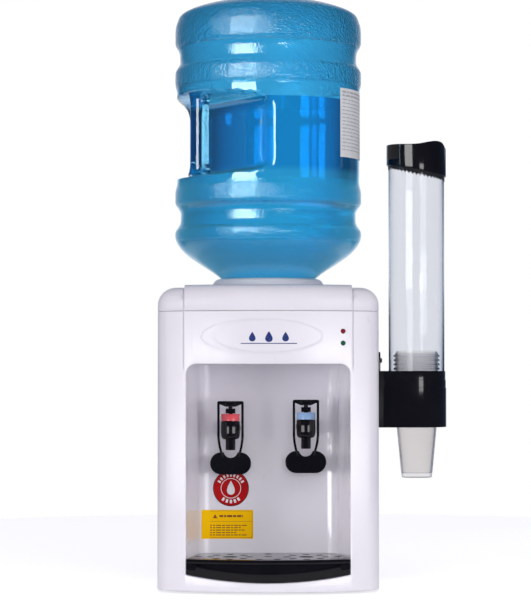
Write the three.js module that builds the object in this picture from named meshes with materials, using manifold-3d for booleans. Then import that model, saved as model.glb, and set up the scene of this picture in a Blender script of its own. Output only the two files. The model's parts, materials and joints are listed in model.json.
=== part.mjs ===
// Countertop water dispenser with a bottle on top, two taps and a cup magazine on its side.
// Millimetres, +Z up. The front faces -Y and the cup magazine stands on the +X side.
// Every sub-part is made in one cabinet frame: X and Y are zero at the cabinet's centre, Z at the counter.
import * as THREE from 'three';
import { mergeVertices } from 'three/addons/utils/BufferGeometryUtils.js';
import Module from 'manifold-3d';

const wasm = await Module();
wasm.setup();

// ---------- driving dimensions ----------
const GAP = 0.3;
const WALL = 3;

const HALF_WIDTH = 155;
const FRONT_Y = -155;
const REAR_Y = 155;
const FRONT_RADIUS = 300;
const CORNER_RADIUS = 28;
const SKIRT_Z = 4;
const SEAM_Z = 392.3;
const SHOULDER_Z = 425.8;
const BAND_Z = 429.5;
const BAND_HALF = 117;
const CROWN_INSET = 26;
const CROWN_HEIGHT = 25;
const SIDE_FRONT_Y = -60;
const SIDE_REAR_Y = 127;

const MOUTH_HALF = 114;
const MOUTH_TOP = 318.5;
const MOUTH_CORNER = 14;
const NICHE_BACK_Y = -15;
const NICHE_BACK_HALF = 100;
const NICHE_FILLET = 11;
const NICHE_TAPER = 0.136;
const SILL_MID_Z = 16.9;
const SILL_END_Z = 27;

const TAP_X = 53.5;
const TAP_Y = -57;
const TAP_Z = 227;
const COLD_TAP_LIFT = 2;
const LEVER_PIN_Z = 260;

const TRAY_TOP_Z = 42.3;
const GRILLE_BASE_Z = TRAY_TOP_Z + GAP;
const GRILLE_TOP_Z = 48.6;
const TRAY_PROUD = 1.5;

const BOTTLE_Y = 10;
const BOTTLE_SIDES = 20;
const BOTTLE_WALL = 2;
const HANDLE_TURN = THREE.MathUtils.degToRad(209);
const WATER_LEVEL = 694.5;

const TANK_Y = 42;
const COLD_TANK_RADIUS = 40;
const HOT_TANK_RADIUS = 38;
const FEED_X = 45;
const FEED_Y = 38;
const BOWL_FLOOR_Z = 345;

const MAGAZINE_X = 212.5;
const MAGAZINE_Y = -25;
const HOLDER_BASE_Z = 229;
const HOLDER_TOP_Z = 309;
const HOLDER_RADIUS = 42.5;
const TUBE_RADIUS = 40;
const TUBE_SEAT_Z = 290;
const TUBE_TOP_Z = 620;
const LID_TOP_Z = 636.4;
const CUP_BASE_Z = 157;
const CUP_RIM_Z = 252;
const STACK_TOP_Z = 342;

// ---------- solids from three.js geometry ----------
function toSolid(geometry) {
  geometry.deleteAttribute('normal');
  geometry.deleteAttribute('uv');
  const merged = mergeVertices(geometry, 1e-4);
  const corners = merged.index.array;
  const triVerts = [];
  for (let i = 0; i < corners.length; i += 3) {
    const [a, b, c] = corners.slice(i, i + 3);
    if (a !== b && b !== c && c !== a) triVerts.push(a, b, c);
  }
  const vertProperties = Float32Array.from(merged.attributes.position.array);
  const mesh = new wasm.Mesh({ numProp: 3, vertProperties, triVerts: Uint32Array.from(triVerts) });
  return new wasm.Manifold(mesh);
}

function box([x0, y0, z0], [x1, y1, z1]) {
  const geometry = new THREE.BoxGeometry(x1 - x0, y1 - y0, z1 - z0);
  return toSolid(geometry.translate((x0 + x1) / 2, (y0 + y1) / 2, (z0 + z1) / 2));
}

// A round bar or cone between two points.
function rod(radius, start, end, sides = 24, endRadius = radius) {
  const a = new THREE.Vector3(...start);
  const along = new THREE.Vector3(...end).sub(a);
  const geometry = new THREE.CylinderGeometry(endRadius, radius, along.length(), sides);
  const up = new THREE.Vector3(0, 1, 0);
  const turn = new THREE.Quaternion().setFromUnitVectors(up, along.clone().normalize());
  const middle = a.addScaledVector(along, 0.5);
  return toSolid(geometry.applyQuaternion(turn).translate(middle.x, middle.y, middle.z));
}

// A profile of [radius, height] points, turned about a vertical axis.
function turned(profile, x = 0, y = 0, sides = 24) {
  const points = profile.map(([r, z]) => new THREE.Vector2(r, z));
  const area = THREE.ShapeUtils.area(points);
  if (area < 0) points.reverse();
  const geometry = new THREE.LatheGeometry(points, sides).rotateX(Math.PI / 2);
  return toSolid(geometry.translate(x, y, 0));
}

function ring(inner, outer, z0, z1, x = 0, y = 0, sides = 24) {
  return turned([[inner, z0], [outer, z0], [outer, z1], [inner, z1], [inner, z0]], x, y, sides);
}

function extruded(outline, depth) {
  const shape = new THREE.Shape(outline.map(([u, v]) => new THREE.Vector2(u, v)));
  return new THREE.ExtrudeGeometry(shape, { depth, bevelEnabled: false });
}

// Prisms of an outline in the XY, XZ and YZ planes.
function prism(outline, z0, z1) {
  return toSolid(extruded(outline, z1 - z0).translate(0, 0, z0));
}

function prismY(outline, y0, y1) {
  return toSolid(extruded(outline, y1 - y0).rotateX(Math.PI / 2).translate(0, y1, 0));
}

function prismX(outline, x0, x1) {
  const axes = [new THREE.Vector3(0, 1, 0), new THREE.Vector3(0, 0, 1), new THREE.Vector3(1, 0, 0)];
  const turn = new THREE.Matrix4().makeBasis(...axes);
  return toSolid(extruded(outline, x1 - x0).applyMatrix4(turn).translate(x0, 0, 0));
}

// A solid through a stack of convex rings with equal point counts.
function loft(rings) {
  const count = rings[0].length;
  const centre = (points) => [0, 1, 2].map((k) => points.reduce((sum, p) => sum + p[k], 0) / count);
  const points = [...rings.flat(), centre(rings[0]), centre(rings.at(-1))];
  const bottom = rings.length * count;
  const index = [];
  for (let i = 0; i < count; i++) {
    const next = (i + 1) % count;
    index.push(bottom, next, i);
    index.push(bottom + 1, bottom - count + i, bottom - count + next);
    for (let level = 0; level < rings.length - 1; level++) {
      const low = level * count;
      index.push(low + i, low + next, low + count + next);
      index.push(low + i, low + count + next, low + count + i);
    }
  }
  const geometry = new THREE.BufferGeometry();
  geometry.setAttribute('position', new THREE.Float32BufferAttribute(points.flat(), 3));
  geometry.setIndex(index);
  return toSolid(geometry);
}

// ---------- materials and placing ----------
const look = (color, roughness, metalness = 0, opacity = 1) =>
  new THREE.MeshStandardMaterial({ color, roughness, metalness, opacity, transparent: opacity < 1 });

const WHITE_SHELL = look(0xe4e0e8, 0.25);
const BLACK_GLOSS = look(0x16141a, 0.15);
const BLACK_RUBBER = look(0x1c1c1e, 0.8);
const CLEAR_BLUE = look(0x3a86c8, 0.1, 0, 0.6);
const WATER_BLUE = look(0x0580d8, 0.05, 0, 0.8);
const CLEAR_TUBE = look(0xdfe4ec, 0.08, 0, 0.4);
const CUP_PLASTIC = look(0xd2cdcc, 0.3, 0, 0.6);
const HOT_RED = look(0xe05a62, 0.3);
const COLD_BLUE = look(0x9ab6dc, 0.3);
const LAMP_RED = look(0x8c1c28, 0.2);
const LAMP_GREEN = look(0x1f5f3c, 0.2);
const STEEL = look(0xb8bcc0, 0.3, 1);
const ALUMINIUM = look(0xc8cacd, 0.4, 1);
const FOAM = look(0xd8d2c0, 0.9);
const BOARD_GREEN = look(0x1f6b3a, 0.5);
const SILICONE = look(0xe8e8e4, 0.5, 0, 0.8);
const CERAMIC = look(0xf0eee8, 0.4);

const dispenser = new THREE.Group();

function toGeometry(solid) {
  const mesh = solid.getMesh();
  const geometry = new THREE.BufferGeometry();
  geometry.setAttribute('position', new THREE.Float32BufferAttribute(mesh.vertProperties, 3));
  geometry.setIndex(Array.from(mesh.triVerts));
  geometry.computeVertexNormals();
  return geometry;
}

function add(name, solid, material, [x, y, z] = [0, 0, 0]) {
  const mesh = new THREE.Mesh(toGeometry(solid), material);
  mesh.name = name;
  mesh.position.set(x, y, z);
  dispenser.add(mesh);
}

// ---------- outlines ----------
function arc(x, y, radius, from, to, steps) {
  const points = [];
  for (let i = 0; i <= steps; i++) {
    const angle = from + ((to - from) * i) / steps;
    points.push([x + radius * Math.cos(angle), y + radius * Math.sin(angle)]);
  }
  return points;
}

// Plan of the cabinet: a bowed front between round corners, moved in by an inset.
function cabinetPlan(inset) {
  const cornerX = HALF_WIDTH - CORNER_RADIUS;
  const frontCentre = FRONT_Y + FRONT_RADIUS;
  const reach = Math.sqrt((FRONT_RADIUS - CORNER_RADIUS) ** 2 - cornerX ** 2);
  const bend = Math.atan2(-reach, cornerX);
  const corner = CORNER_RADIUS - inset;
  const frontCornerY = frontCentre - reach;
  const rearCornerY = REAR_Y - CORNER_RADIUS;
  return [
    ...arc(0, frontCentre, FRONT_RADIUS - inset, -Math.PI - bend, bend, 10),
    ...arc(cornerX, frontCornerY, corner, bend, 0, 4).slice(1),
    ...arc(cornerX, rearCornerY, corner, 0, Math.PI / 2, 4),
    ...arc(-cornerX, rearCornerY, corner, Math.PI / 2, Math.PI, 4),
    ...arc(-cornerX, frontCornerY, corner, Math.PI, Math.PI - bend, 4).slice(0, -1),
  ];
}

// Plan and front outlines of the dispensing niche, grown outwards by an amount.
function nichePlan(grow) {
  const nearHalf = NICHE_BACK_HALF + NICHE_TAPER * 150;
  const side = NICHE_BACK_HALF + grow;
  const fillet = NICHE_FILLET + grow;
  const filletY = NICHE_BACK_Y - NICHE_FILLET;
  return [
    [-nearHalf - grow, NICHE_BACK_Y - 160],
    [nearHalf + grow, NICHE_BACK_Y - 160],
    ...arc(side - fillet, filletY, fillet, 0, Math.PI / 2, 4),
    ...arc(-side + fillet, filletY, fillet, Math.PI / 2, Math.PI, 4),
  ];
}

function sillArc(grow) {
  const points = [];
  for (let i = 0; i <= 10; i++) {
    const along = -1 + i / 5;
    const z = SILL_MID_Z - grow + (SILL_END_Z - SILL_MID_Z) * along ** 2;
    points.push([along * (MOUTH_HALF + grow), z]);
  }
  return points;
}

function nicheFront(grow) {
  const corner = MOUTH_CORNER + grow;
  const cornerX = MOUTH_HALF - MOUTH_CORNER;
  const cornerZ = MOUTH_TOP - MOUTH_CORNER;
  return [
    ...sillArc(grow),
    ...arc(cornerX, cornerZ, corner, 0, Math.PI / 2, 4),
    ...arc(-cornerX, cornerZ, corner, Math.PI / 2, Math.PI, 4),
  ];
}

function nicheSolid(grow) {
  const plan = prism(nichePlan(grow), 0, SEAM_Z);
  return plan.intersect(prismY(nicheFront(grow), FRONT_Y - 20, NICHE_BACK_Y + 20));
}

function cabinetBlock(inset, z0, z1) {
  return prism(cabinetPlan(inset), z0, z1);
}

// ---------- cabinet ----------
const FOOT_SPOTS = {
  front_left: [-110, -75],
  front_right: [110, -75],
  rear_left: [-110, 115],
  rear_right: [110, 115],
};
const LAMP_X = 103.9;
const LAMP_Z = { heating: 364.1, cooling: 347.6 };
const TAPS = {
  hot: { x: -TAP_X, z: TAP_Z, colour: HOT_RED },
  cold: { x: TAP_X, z: TAP_Z + COLD_TAP_LIFT, colour: COLD_BLUE },
};
const SWITCH_X = { heating: -110, cooling: -80 };
const SWITCH_Z = 108;
const SWITCH_Y = 152;
const INLET = [-110, 60];
const DRAIN = [-TAP_X, 34];
const FAN = [TAP_X, 255];

function shellWalls() {
  return cabinetBlock(0, SKIRT_Z, SEAM_Z).subtract(cabinetBlock(WALL, 0, SEAM_Z + 1));
}

function frontPanel() {
  const half = box([-200, -200, 0], [200, SIDE_FRONT_Y, SEAM_Z]);
  const liner = nicheSolid(WALL).intersect(cabinetBlock(WALL / 2, SKIRT_Z, SEAM_Z));
  let panel = shellWalls().intersect(half).add(liner).subtract(nicheSolid(0));
  for (const { x, z } of Object.values(TAPS)) {
    panel = panel.subtract(rod(10, [x, NICHE_BACK_Y - 5, z], [x, 0, z], 16));
  }
  for (const z of Object.values(LAMP_Z)) {
    panel = panel.subtract(rod(3.4, [LAMP_X, -145, z], [LAMP_X, -125, z], 12));
  }
  return panel;
}

function crown(inset, baseZ, topZ, steps = 4) {
  const level = (depth, z) => cabinetPlan(depth).map(([x, y]) => [x, y, z]);
  const rings = [level(inset, baseZ)];
  for (let i = 0; i <= steps; i++) {
    const angle = ((Math.PI / 2) * i) / steps;
    const depth = inset + (CROWN_INSET - inset) * (1 - Math.cos(angle));
    rings.push(level(depth, topZ - CROWN_HEIGHT + CROWN_HEIGHT * Math.sin(angle)));
  }
  return loft(rings);
}

function topCover() {
  const baseZ = SEAM_Z + GAP;
  const band = crown(0, baseZ, BAND_Z).intersect(box([-BAND_HALF, -200, 0], [BAND_HALF, 200, 500]));
  const hollow = crown(WALL, baseZ - 5, SHOULDER_Z - WALL, 2);
  const seatHole = rod(77, [0, BOTTLE_Y, SEAM_Z], [0, BOTTLE_Y, BAND_Z + 5], 24);
  return crown(0, baseZ, SHOULDER_Z).add(band).subtract(hollow).subtract(seatHole);
}

function sidePanel(side) {
  const inner = side * (HALF_WIDTH - WALL);
  const outer = side * HALF_WIDTH;
  const low = [Math.min(inner, outer), SIDE_FRONT_Y + GAP, SKIRT_Z];
  const high = [Math.max(inner, outer), SIDE_REAR_Y - GAP, SEAM_Z];
  return box(low, high);
}

function rearPanel() {
  let panel = shellWalls().intersect(box([-200, SIDE_REAR_Y, 0], [200, 200, SEAM_Z]));
  for (let row = 0; row < 8; row++) {
    const z = 213 + row * 11;
    for (const x of [-96, 14]) {
      panel = panel.subtract(box([x, 140, z], [x + 82, 170, z + 5]));
    }
  }
  const [inletX, inletZ] = INLET;
  panel = panel.subtract(box([inletX - 14, 140, inletZ - 10.5], [inletX + 14, 170, inletZ + 10.5]));
  for (const x of Object.values(SWITCH_X)) {
    panel = panel.subtract(box([x - 11, 140, SWITCH_Z - 10], [x + 11, 170, SWITCH_Z + 10]));
  }
  const [drainX, drainZ] = DRAIN;
  return panel.subtract(rod(8.4, [drainX, 140, drainZ], [drainX, 170, drainZ], 16));
}

function basePan() {
  let pan = cabinetBlock(WALL + GAP, 5, 8);
  for (const [x, y] of Object.values(FOOT_SPOTS)) {
    pan = pan.subtract(rod(4.3, [x, y, 0], [x, y, 10], 12));
  }
  return pan;
}

function foot() {
  return turned([[0, 0], [11, 0], [12, 1], [12, 4.7], [4, 4.7], [4, 9], [0, 9]], 0, 0, 16);
}

function buildCabinet() {
  add('front_panel', frontPanel(), WHITE_SHELL);
  add('top_cover', topCover(), WHITE_SHELL);
  add('left_side_panel', sidePanel(-1), WHITE_SHELL);
  add('right_side_panel', sidePanel(1).subtract(bracketScrewHoles()), WHITE_SHELL);
  add('rear_panel', rearPanel(), WHITE_SHELL);
  add('base_pan', basePan(), WHITE_SHELL);
  for (const [corner, [x, y]] of Object.entries(FOOT_SPOTS)) {
    add(`foot_${corner}`, foot(), BLACK_RUBBER, [x, y, 0]);
  }
}

// ---------- lamps and electrics ----------
function lampLens() {
  const lens = rod(3.1, [0, -138, 0], [0, -128, 0], 10);
  return lens.add(rod(4.4, [0, -131, 0], [0, -129, 0], 10));
}

function ledBoard() {
  return box([95, -127.6, 338], [113, -126, 374]);
}

function powerInlet() {
  const [x, z] = INLET;
  const body = box([x - 13.6, 135, z - 10], [x + 13.6, 157.2, z + 10]);
  let inlet = body.subtract(box([x - 12, 141, z - 8.5], [x + 12, 160, z + 8.5]));
  for (const [dx, dz] of [[-6, -1.5], [0, 2.5], [6, -1.5]]) {
    inlet = inlet.add(box([x + dx - 1, 140, z + dz - 2], [x + dx + 1, 149, z + dz + 2]));
  }
  return inlet;
}

function switchHousing() {
  const well = box([-8.8, 145.5, -7.2], [8.8, 160, 7.2]);
  return box([-10.6, 140, -9.6], [10.6, 157.2, 9.6]).subtract(well);
}

// The rocker's cross-section about its pivot, resting with its lower half pressed.
function switchRocker() {
  const rest = THREE.MathUtils.degToRad(7);
  const profile = [[-3, -5.4], [-3, 5.4], [4.2, 5.4], [2.6, 0], [4.2, -5.4]];
  const turnedProfile = profile.map(([y, z]) => [
    y * Math.cos(rest) - z * Math.sin(rest),
    y * Math.sin(rest) + z * Math.cos(rest),
  ]);
  return prismX(turnedProfile, -8.5, 8.5);
}

function powerBoard() {
  const board = box([-137, 12, 110], [-135.4, 100, 230]);
  const parts = [
    box([-135.5, 20, 120], [-112, 48, 150]),
    box([-135.5, 60, 122], [-120, 92, 145]),
    box([-135.5, 58, 165], [-131, 94, 180]),
    rod(6, [-135.5, 30, 175], [-116, 30, 175], 12),
    rod(6, [-135.5, 30, 195], [-116, 30, 195], 12),
    box([-135.5, 58, 200], [-127, 90, 215]),
  ];
  return parts.reduce((whole, part) => whole.add(part), board);
}

function fanFrame() {
  let frame = box([-40, 118, -40], [40, 133, 40]).subtract(rod(37.5, [0, 110, 0], [0, 140, 0], 20));
  frame = frame.add(rod(14, [0, 130.4, 0], [0, 133, 0], 16));
  for (const angle of [0, 120, 240]) {
    const turn = THREE.MathUtils.degToRad(90 + angle);
    const tip = [38.5 * Math.cos(turn), 131.7, 38.5 * Math.sin(turn)];
    frame = frame.add(rod(1.3, [0, 131.7, 0], tip, 6));
  }
  return frame;
}

function fanRotor() {
  let rotor = rod(14, [0, 119.5, 0], [0, 130, 0], 16);
  const blades = 7;
  for (let i = 0; i < blades; i++) {
    const blade = new THREE.BoxGeometry(24, 1.6, 13).rotateX(0.6).translate(24, 124.7, 0);
    rotor = rotor.add(toSolid(blade.rotateY((2 * Math.PI * i) / blades)));
  }
  return rotor;
}

function heatSink() {
  const half = 40;
  const finThickness = 2.4;
  const baseY = 90.9;
  const rootY = 96;
  const tipY = 117.4;
  let sink = box([-half, baseY, -half], [half, rootY, half]);
  for (let fin = 0; fin < 9; fin++) {
    const x = -half + (fin * (2 * half - finThickness)) / 8;
    sink = sink.add(box([x, rootY - 1, -half], [x + finThickness, tipY, half]));
  }
  return sink;
}

function buildElectrics() {
  for (const [name, z] of Object.entries(LAMP_Z)) {
    add(`${name}_lamp`, lampLens(), name === 'heating' ? LAMP_RED : LAMP_GREEN, [LAMP_X, 0, z]);
  }
  add('led_board', ledBoard(), BOARD_GREEN);
  add('power_inlet', powerInlet(), BLACK_GLOSS);
  for (const [name, x] of Object.entries(SWITCH_X)) {
    add(`${name}_switch_housing`, switchHousing(), BLACK_GLOSS, [x, 0, SWITCH_Z]);
    add(`${name}_switch_rocker`, switchRocker(), BLACK_GLOSS, [x, SWITCH_Y, SWITCH_Z]);
  }
  add('power_board', powerBoard(), BOARD_GREEN);
}

// ---------- tanks, cooling and water paths ----------
function tank(x, radius, z0, z1, outletZ) {
  const wall = 1.5;
  const feedX = Math.sign(x) * FEED_X;
  const frontY = TANK_Y - radius;
  const feedHole = rod(4, [feedX, FEED_Y, z1 - 5], [feedX, FEED_Y, z1 + 5], 10);
  const outletHole = rod(5, [x, frontY - 5, outletZ], [x, frontY + 8, outletZ], 10);
  return rod(radius, [x, TANK_Y, z0], [x, TANK_Y, z1], 20)
    .subtract(rod(radius - wall, [x, TANK_Y, z0 + wall], [x, TANK_Y, z1 - wall], 20))
    .subtract(feedHole)
    .subtract(outletHole);
}

const COLD_TANK_Z = [190, 320];
const HOT_TANK_Z = [170, 310];

function coldTank() {
  const pad = box([TAP_X - 20, 70, FAN[1] - 20], [TAP_X + 20, 84, FAN[1] + 20]);
  const core = rod(COLD_TANK_RADIUS - 1, [TAP_X, TANK_Y, 200], [TAP_X, TANK_Y, 310], 20);
  return tank(TAP_X, COLD_TANK_RADIUS, ...COLD_TANK_Z, TAPS.cold.z).add(pad.subtract(core));
}

function heaterBand() {
  return ring(HOT_TANK_RADIUS + 0.4, HOT_TANK_RADIUS + 2.4, 178, 212, -TAP_X, TANK_Y, 20);
}

function thermostat() {
  const x = -70;
  const tankTop = HOT_TANK_Z[1];
  return rod(8, [x, TANK_Y, tankTop + GAP], [x, TANK_Y, tankTop + 7], 16);
}

function coldTankFoam() {
  const jacket = ring(COLD_TANK_RADIUS + 0.5, 47.3, ...COLD_TANK_Z, TAP_X, TANK_Y, 20);
  const padHole = box([TAP_X - 21, 60, FAN[1] - 21], [TAP_X + 21, 100, FAN[1] + 21]);
  const tapHole = rod(12, [TAP_X, -10, TAPS.cold.z], [TAP_X, 12, TAPS.cold.z], 12);
  return jacket.subtract(padHole).subtract(tapHole);
}

function reservoirBowl() {
  const outer = 72;
  const rim = 422.5;
  const wall = 2;
  const floor = BOWL_FLOOR_Z + wall;
  const profile = [
    [0, BOWL_FLOOR_Z], [outer, BOWL_FLOOR_Z], [outer, rim],
    [outer - wall, rim], [outer - wall, floor], [0, floor],
  ];
  let bowl = turned(profile, 0, BOTTLE_Y, 20);
  for (const x of [-FEED_X, FEED_X]) {
    bowl = bowl.subtract(rod(4, [x, FEED_Y, BOWL_FLOOR_Z - 5], [x, FEED_Y, BOWL_FLOOR_Z + 5], 10));
  }
  return bowl;
}

// Seat ring on the top cover, with a funnel and a guide for the bottle's neck.
function bottleSeat() {
  const profile = [
    [76.6, 424], [76.6, 429.8], [80.5, 429.8], [80.2, 433.5], [77.5, 438.6], [73, 441], [68, 441.5],
    [56, 434.9], [45, 429.1], [36, 423.4], [31.5, 419], [31.5, 385], [34, 385], [34, 418], [46, 424],
    [76.6, 424],
  ];
  return turned(profile, 0, BOTTLE_Y, 24);
}

function feedTube(side, tankTop) {
  return ring(4, 6, tankTop + GAP, BOWL_FLOOR_Z - GAP, side * FEED_X, FEED_Y, 12);
}

function drainPipe() {
  const [x, z] = DRAIN;
  const route = new THREE.CurvePath();
  const top = new THREE.Vector3(x, TANK_Y, HOT_TANK_Z[0] - GAP);
  const bendStart = new THREE.Vector3(x, TANK_Y, z + 22);
  const bendEnd = new THREE.Vector3(x, TANK_Y + 22, z);
  route.add(new THREE.LineCurve3(top, bendStart));
  route.add(new THREE.QuadraticBezierCurve3(bendStart, new THREE.Vector3(x, TANK_Y, z), bendEnd));
  route.add(new THREE.LineCurve3(bendEnd, new THREE.Vector3(x, 140, z)));
  const shape = new THREE.Shape().absarc(0, 0, 6, 0, 2 * Math.PI);
  shape.holes.push(new THREE.Path().absarc(0, 0, 4, 0, 2 * Math.PI));
  return toSolid(new THREE.ExtrudeGeometry(shape, { steps: 12, curveSegments: 4, extrudePath: route }));
}

function drainSocket() {
  const body = rod(8, [0, 140.3, 0], [0, 160, 0], 12).add(rod(10.5, [0, 148.6, 0], [0, 151.6, 0], 12));
  return body.subtract(rod(4, [0, 130, 0], [0, 170, 0], 12));
}

function drainPlug() {
  const knob = rod(11, [0, 156, 0], [0, 166, 0], 12);
  return knob.subtract(rod(8.4, [0, 150, 0], [0, 160.4, 0], 16));
}

function buildInterior() {
  add('bottle_seat', bottleSeat(), WHITE_SHELL);
  add('reservoir_bowl', reservoirBowl(), WHITE_SHELL);
  add('cold_tank', coldTank(), STEEL);
  add('cold_tank_foam', coldTankFoam(), FOAM);
  add('hot_tank', tank(-TAP_X, HOT_TANK_RADIUS, ...HOT_TANK_Z, TAPS.hot.z), STEEL);
  add('heater_band', heaterBand(), STEEL);
  add('thermostat', thermostat(), BLACK_GLOSS);
  add('cold_feed_tube', feedTube(1, COLD_TANK_Z[1]), SILICONE);
  add('hot_feed_tube', feedTube(-1, HOT_TANK_Z[1]), SILICONE);
  add('cooling_module', box([-20, 84.3, -20], [20, 90.6, 20]), CERAMIC, [FAN[0], 0, FAN[1]]);
  add('heat_sink', heatSink(), ALUMINIUM, [FAN[0], 0, FAN[1]]);
  add('fan_frame', fanFrame(), BLACK_GLOSS, [FAN[0], 0, FAN[1]]);
  add('fan_rotor', fanRotor(), BLACK_GLOSS, [FAN[0], 0, FAN[1]]);
  add('drain_pipe', drainPipe(), SILICONE);
  add('drain_socket', drainSocket(), WHITE_SHELL, [DRAIN[0], 0, DRAIN[1]]);
  add('drain_plug', drainPlug(), BLACK_GLOSS, [DRAIN[0], 0, DRAIN[1]]);
}

// ---------- taps, in a frame on each tap's axis ----------
function tapBody() {
  const barrel = turned([[0, -15], [7, -15], [12, -10.4], [13.6, -2], [13.4, 10.9], [0, 10.9]], 0, 0, 20);
  const shank = rod(9.5, [0, -2, 0], [0, 58.5, 0], 12);
  const flange = rod(14, [0, 38, 0], [0, 41.7, 0], 16);
  const nozzle = rod(7, [0, 0, -30.3], [0, 0, -10], 12);
  const chamber = rod(7, [0, 0, -5], [0, 0, 15], 12);
  const outlet = rod(4.5, [0, 0, -40], [0, 0, -4], 8);
  const inlet = rod(5, [0, 0, 0], [0, 70, 0], 8);
  return barrel.add(shank).add(flange).add(nozzle).subtract(chamber).subtract(outlet).subtract(inlet);
}

function tapNut() {
  return rod(14, [0, 45.4, 0], [0, 50.4, 0], 6).subtract(rod(9.8, [0, 40, 0], [0, 60, 0], 16));
}

function colourRing() {
  const profile = [[8.3, 11.2], [13.2, 11.2], [13.2, 20.4], [12.2, 21.3], [8.3, 21.3], [8.3, 11.2]];
  return turned(profile, 0, 0, 20);
}

function valveStem() {
  const rodPart = rod(3, [0, 0, -4.5], [0, 0, 23], 8).add(rod(6, [0, 0, -4.7], [0, 0, -2], 12));
  const neck = box([-7, -4.5, 21.8], [7, 4.5, 28.8]);
  const tongue = box([-3, -3.5, 28], [3, 3.5, 35.2]);
  return rodPart.add(neck).add(tongue).subtract(rod(1.6, [-5, 0, 33], [5, 0, 33], 8));
}

// The lever hangs from a pin at its own origin and is pushed back at its paddle.
function tapLever() {
  const outline = [
    [18.9, -45], [18.9, 4.8], [17.6, 6.3], [-17.6, 6.3], [-18.9, 4.8], [-18.9, -45],
    [-15.2, -45], [-15.2, 1.6], [-7, -1.8], [7, -1.8], [15.2, 1.6], [15.2, -45],
  ];
  const clevis = box([-7, -3.5, -1.8], [7, 3.5, 4.5]);
  const slot = box([-3.4, -6, -4], [3.4, 6, 2.9]);
  const pin = rod(1.2, [-5, 0, 0], [5, 0, 0], 8);
  let lever = prismY(outline, -1.8, 1.8).add(clevis).subtract(slot).add(pin);
  for (const side of [-1, 1]) {
    const armRing = (x0, x1, y, z) => {
      const xs = [side * x0, side * x1].sort((a, b) => a - b);
      return [[xs[0], y - 1.8, z], [xs[1], y - 1.8, z], [xs[1], y + 1.8, z], [xs[0], y + 1.8, z]];
    };
    lever = lever.add(loft([armRing(10.2, 14, 15, -68), armRing(15.2, 18.9, 0, -44)]));
  }
  const half = 13.5;
  const reach = 15.8;
  const paddleOutline = [
    ...arc(half, -82.6, reach, -Math.PI / 2, Math.PI / 2, 6),
    ...arc(-half, -82.6, reach, Math.PI / 2, (3 * Math.PI) / 2, 6),
  ];
  const notch = rod(10, [0, 10, -64.7], [0, 20, -64.7], 14);
  return lever.add(prismY(paddleOutline, 13.2, 16.8).subtract(notch));
}

function buildTaps() {
  for (const [name, { x, z, colour }] of Object.entries(TAPS)) {
    add(`${name}_tap_body`, tapBody(), BLACK_GLOSS, [x, TAP_Y, z]);
    add(`${name}_tap_nut`, tapNut(), WHITE_SHELL, [x, TAP_Y, z]);
    add(`${name}_colour_ring`, colourRing(), colour, [x, TAP_Y, z]);
    add(`${name}_valve_stem`, valveStem(), BLACK_GLOSS, [x, TAP_Y, z]);
    add(`${name}_lever`, tapLever(), BLACK_GLOSS, [x, TAP_Y, z + LEVER_PIN_Z - TAP_Z]);
  }
}

// ---------- drip tray ----------
function crescent() {
  const steps = 12;
  const outline = [];
  for (let i = 0; i <= steps; i++) {
    const along = -1 + (2 * i) / steps;
    outline.push([along * 102, 29.6 + 9.6 * along ** 2]);
  }
  return [...outline, [102, TRAY_TOP_Z + 1], [-102, TRAY_TOP_Z + 1]];
}

function dripTray() {
  const block = nicheSolid(-0.6).intersect(cabinetBlock(-TRAY_PROUD, 0, TRAY_TOP_Z));
  const well = prism(nichePlan(-3.5), 30, TRAY_TOP_Z + 5).intersect(cabinetBlock(14, 0, 100));
  const recess = prismY(crescent(), -170, -100).subtract(cabinetBlock(3, 0, 100));
  return block.subtract(well).subtract(recess);
}

function grilleHoles() {
  const middleY = -92;
  const holes = [];
  for (const side of [-1, 1]) {
    holes.push([side * TAP_X, middleY, 10]);
    for (let i = 0; i < 8; i++) {
      const angle = (Math.PI / 4) * i;
      holes.push([side * TAP_X + 27 * Math.cos(angle), middleY + 42 * Math.sin(angle), 5]);
    }
    holes.push([side * 98, middleY + 6, 5]);
    holes.push([side * 12.5, middleY - 47, 5]);
  }
  holes.push([0, middleY + 8, 5], [0, middleY + 52, 5]);
  return holes;
}

function dripGrille() {
  const block = cabinetBlock(-TRAY_PROUD, GRILLE_BASE_Z, GRILLE_TOP_Z);
  let grille = nicheSolid(-0.6).intersect(block);
  const underside = prism(nichePlan(-7), 0, GRILLE_TOP_Z - 3).intersect(cabinetBlock(6, 0, 100));
  grille = grille.subtract(underside);
  for (const [x, y, radius] of grilleHoles()) {
    grille = grille.subtract(rod(radius, [x, y, 40], [x, y, 60], radius > 5 ? 16 : 8));
  }
  return grille;
}

// ---------- bottle ----------
// Outside of the bottle, standing on its neck: [radius, height] from the mouth to the top.
const BOTTLE_PROFILE = [
  [27.5, 371], [27.5, 418], [34, 423.5], [45, 430], [66.6, 441.2], [77.8, 449.5], [101, 464.5],
  [120, 478.5], [131.8, 493.5], [134.7, 507.5], [127.4, 522.5], [126.7, 536.5], [134.7, 551.5],
  [134.7, 565.5], [132.1, 580.5], [132.5, 594.5], [132.5, 710.5], [135, 724.5], [135, 739.5],
  [127.8, 754], [128.5, 768.5], [135, 782.5], [135, 797.5], [133, 811.5], [122.7, 826.5], [82, 840.5],
];
const BOTTLE_TOP_Z = 843;

function bottleSolid() {
  const profile = [[0, BOTTLE_PROFILE[0][1]], ...BOTTLE_PROFILE, [0, BOTTLE_TOP_Z]];
  return turned(profile, 0, 0, BOTTLE_SIDES);
}

// The space inside the bottle, with the ribs left out.
const CAVITY_PROFILE = [
  [27.5, 368], [27.5, 419], [66.6, 442.5], [101, 466], [125.5, 487], [126.7, 510], [126.7, 805], [118, 824],
  [80, 839],
];

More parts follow.
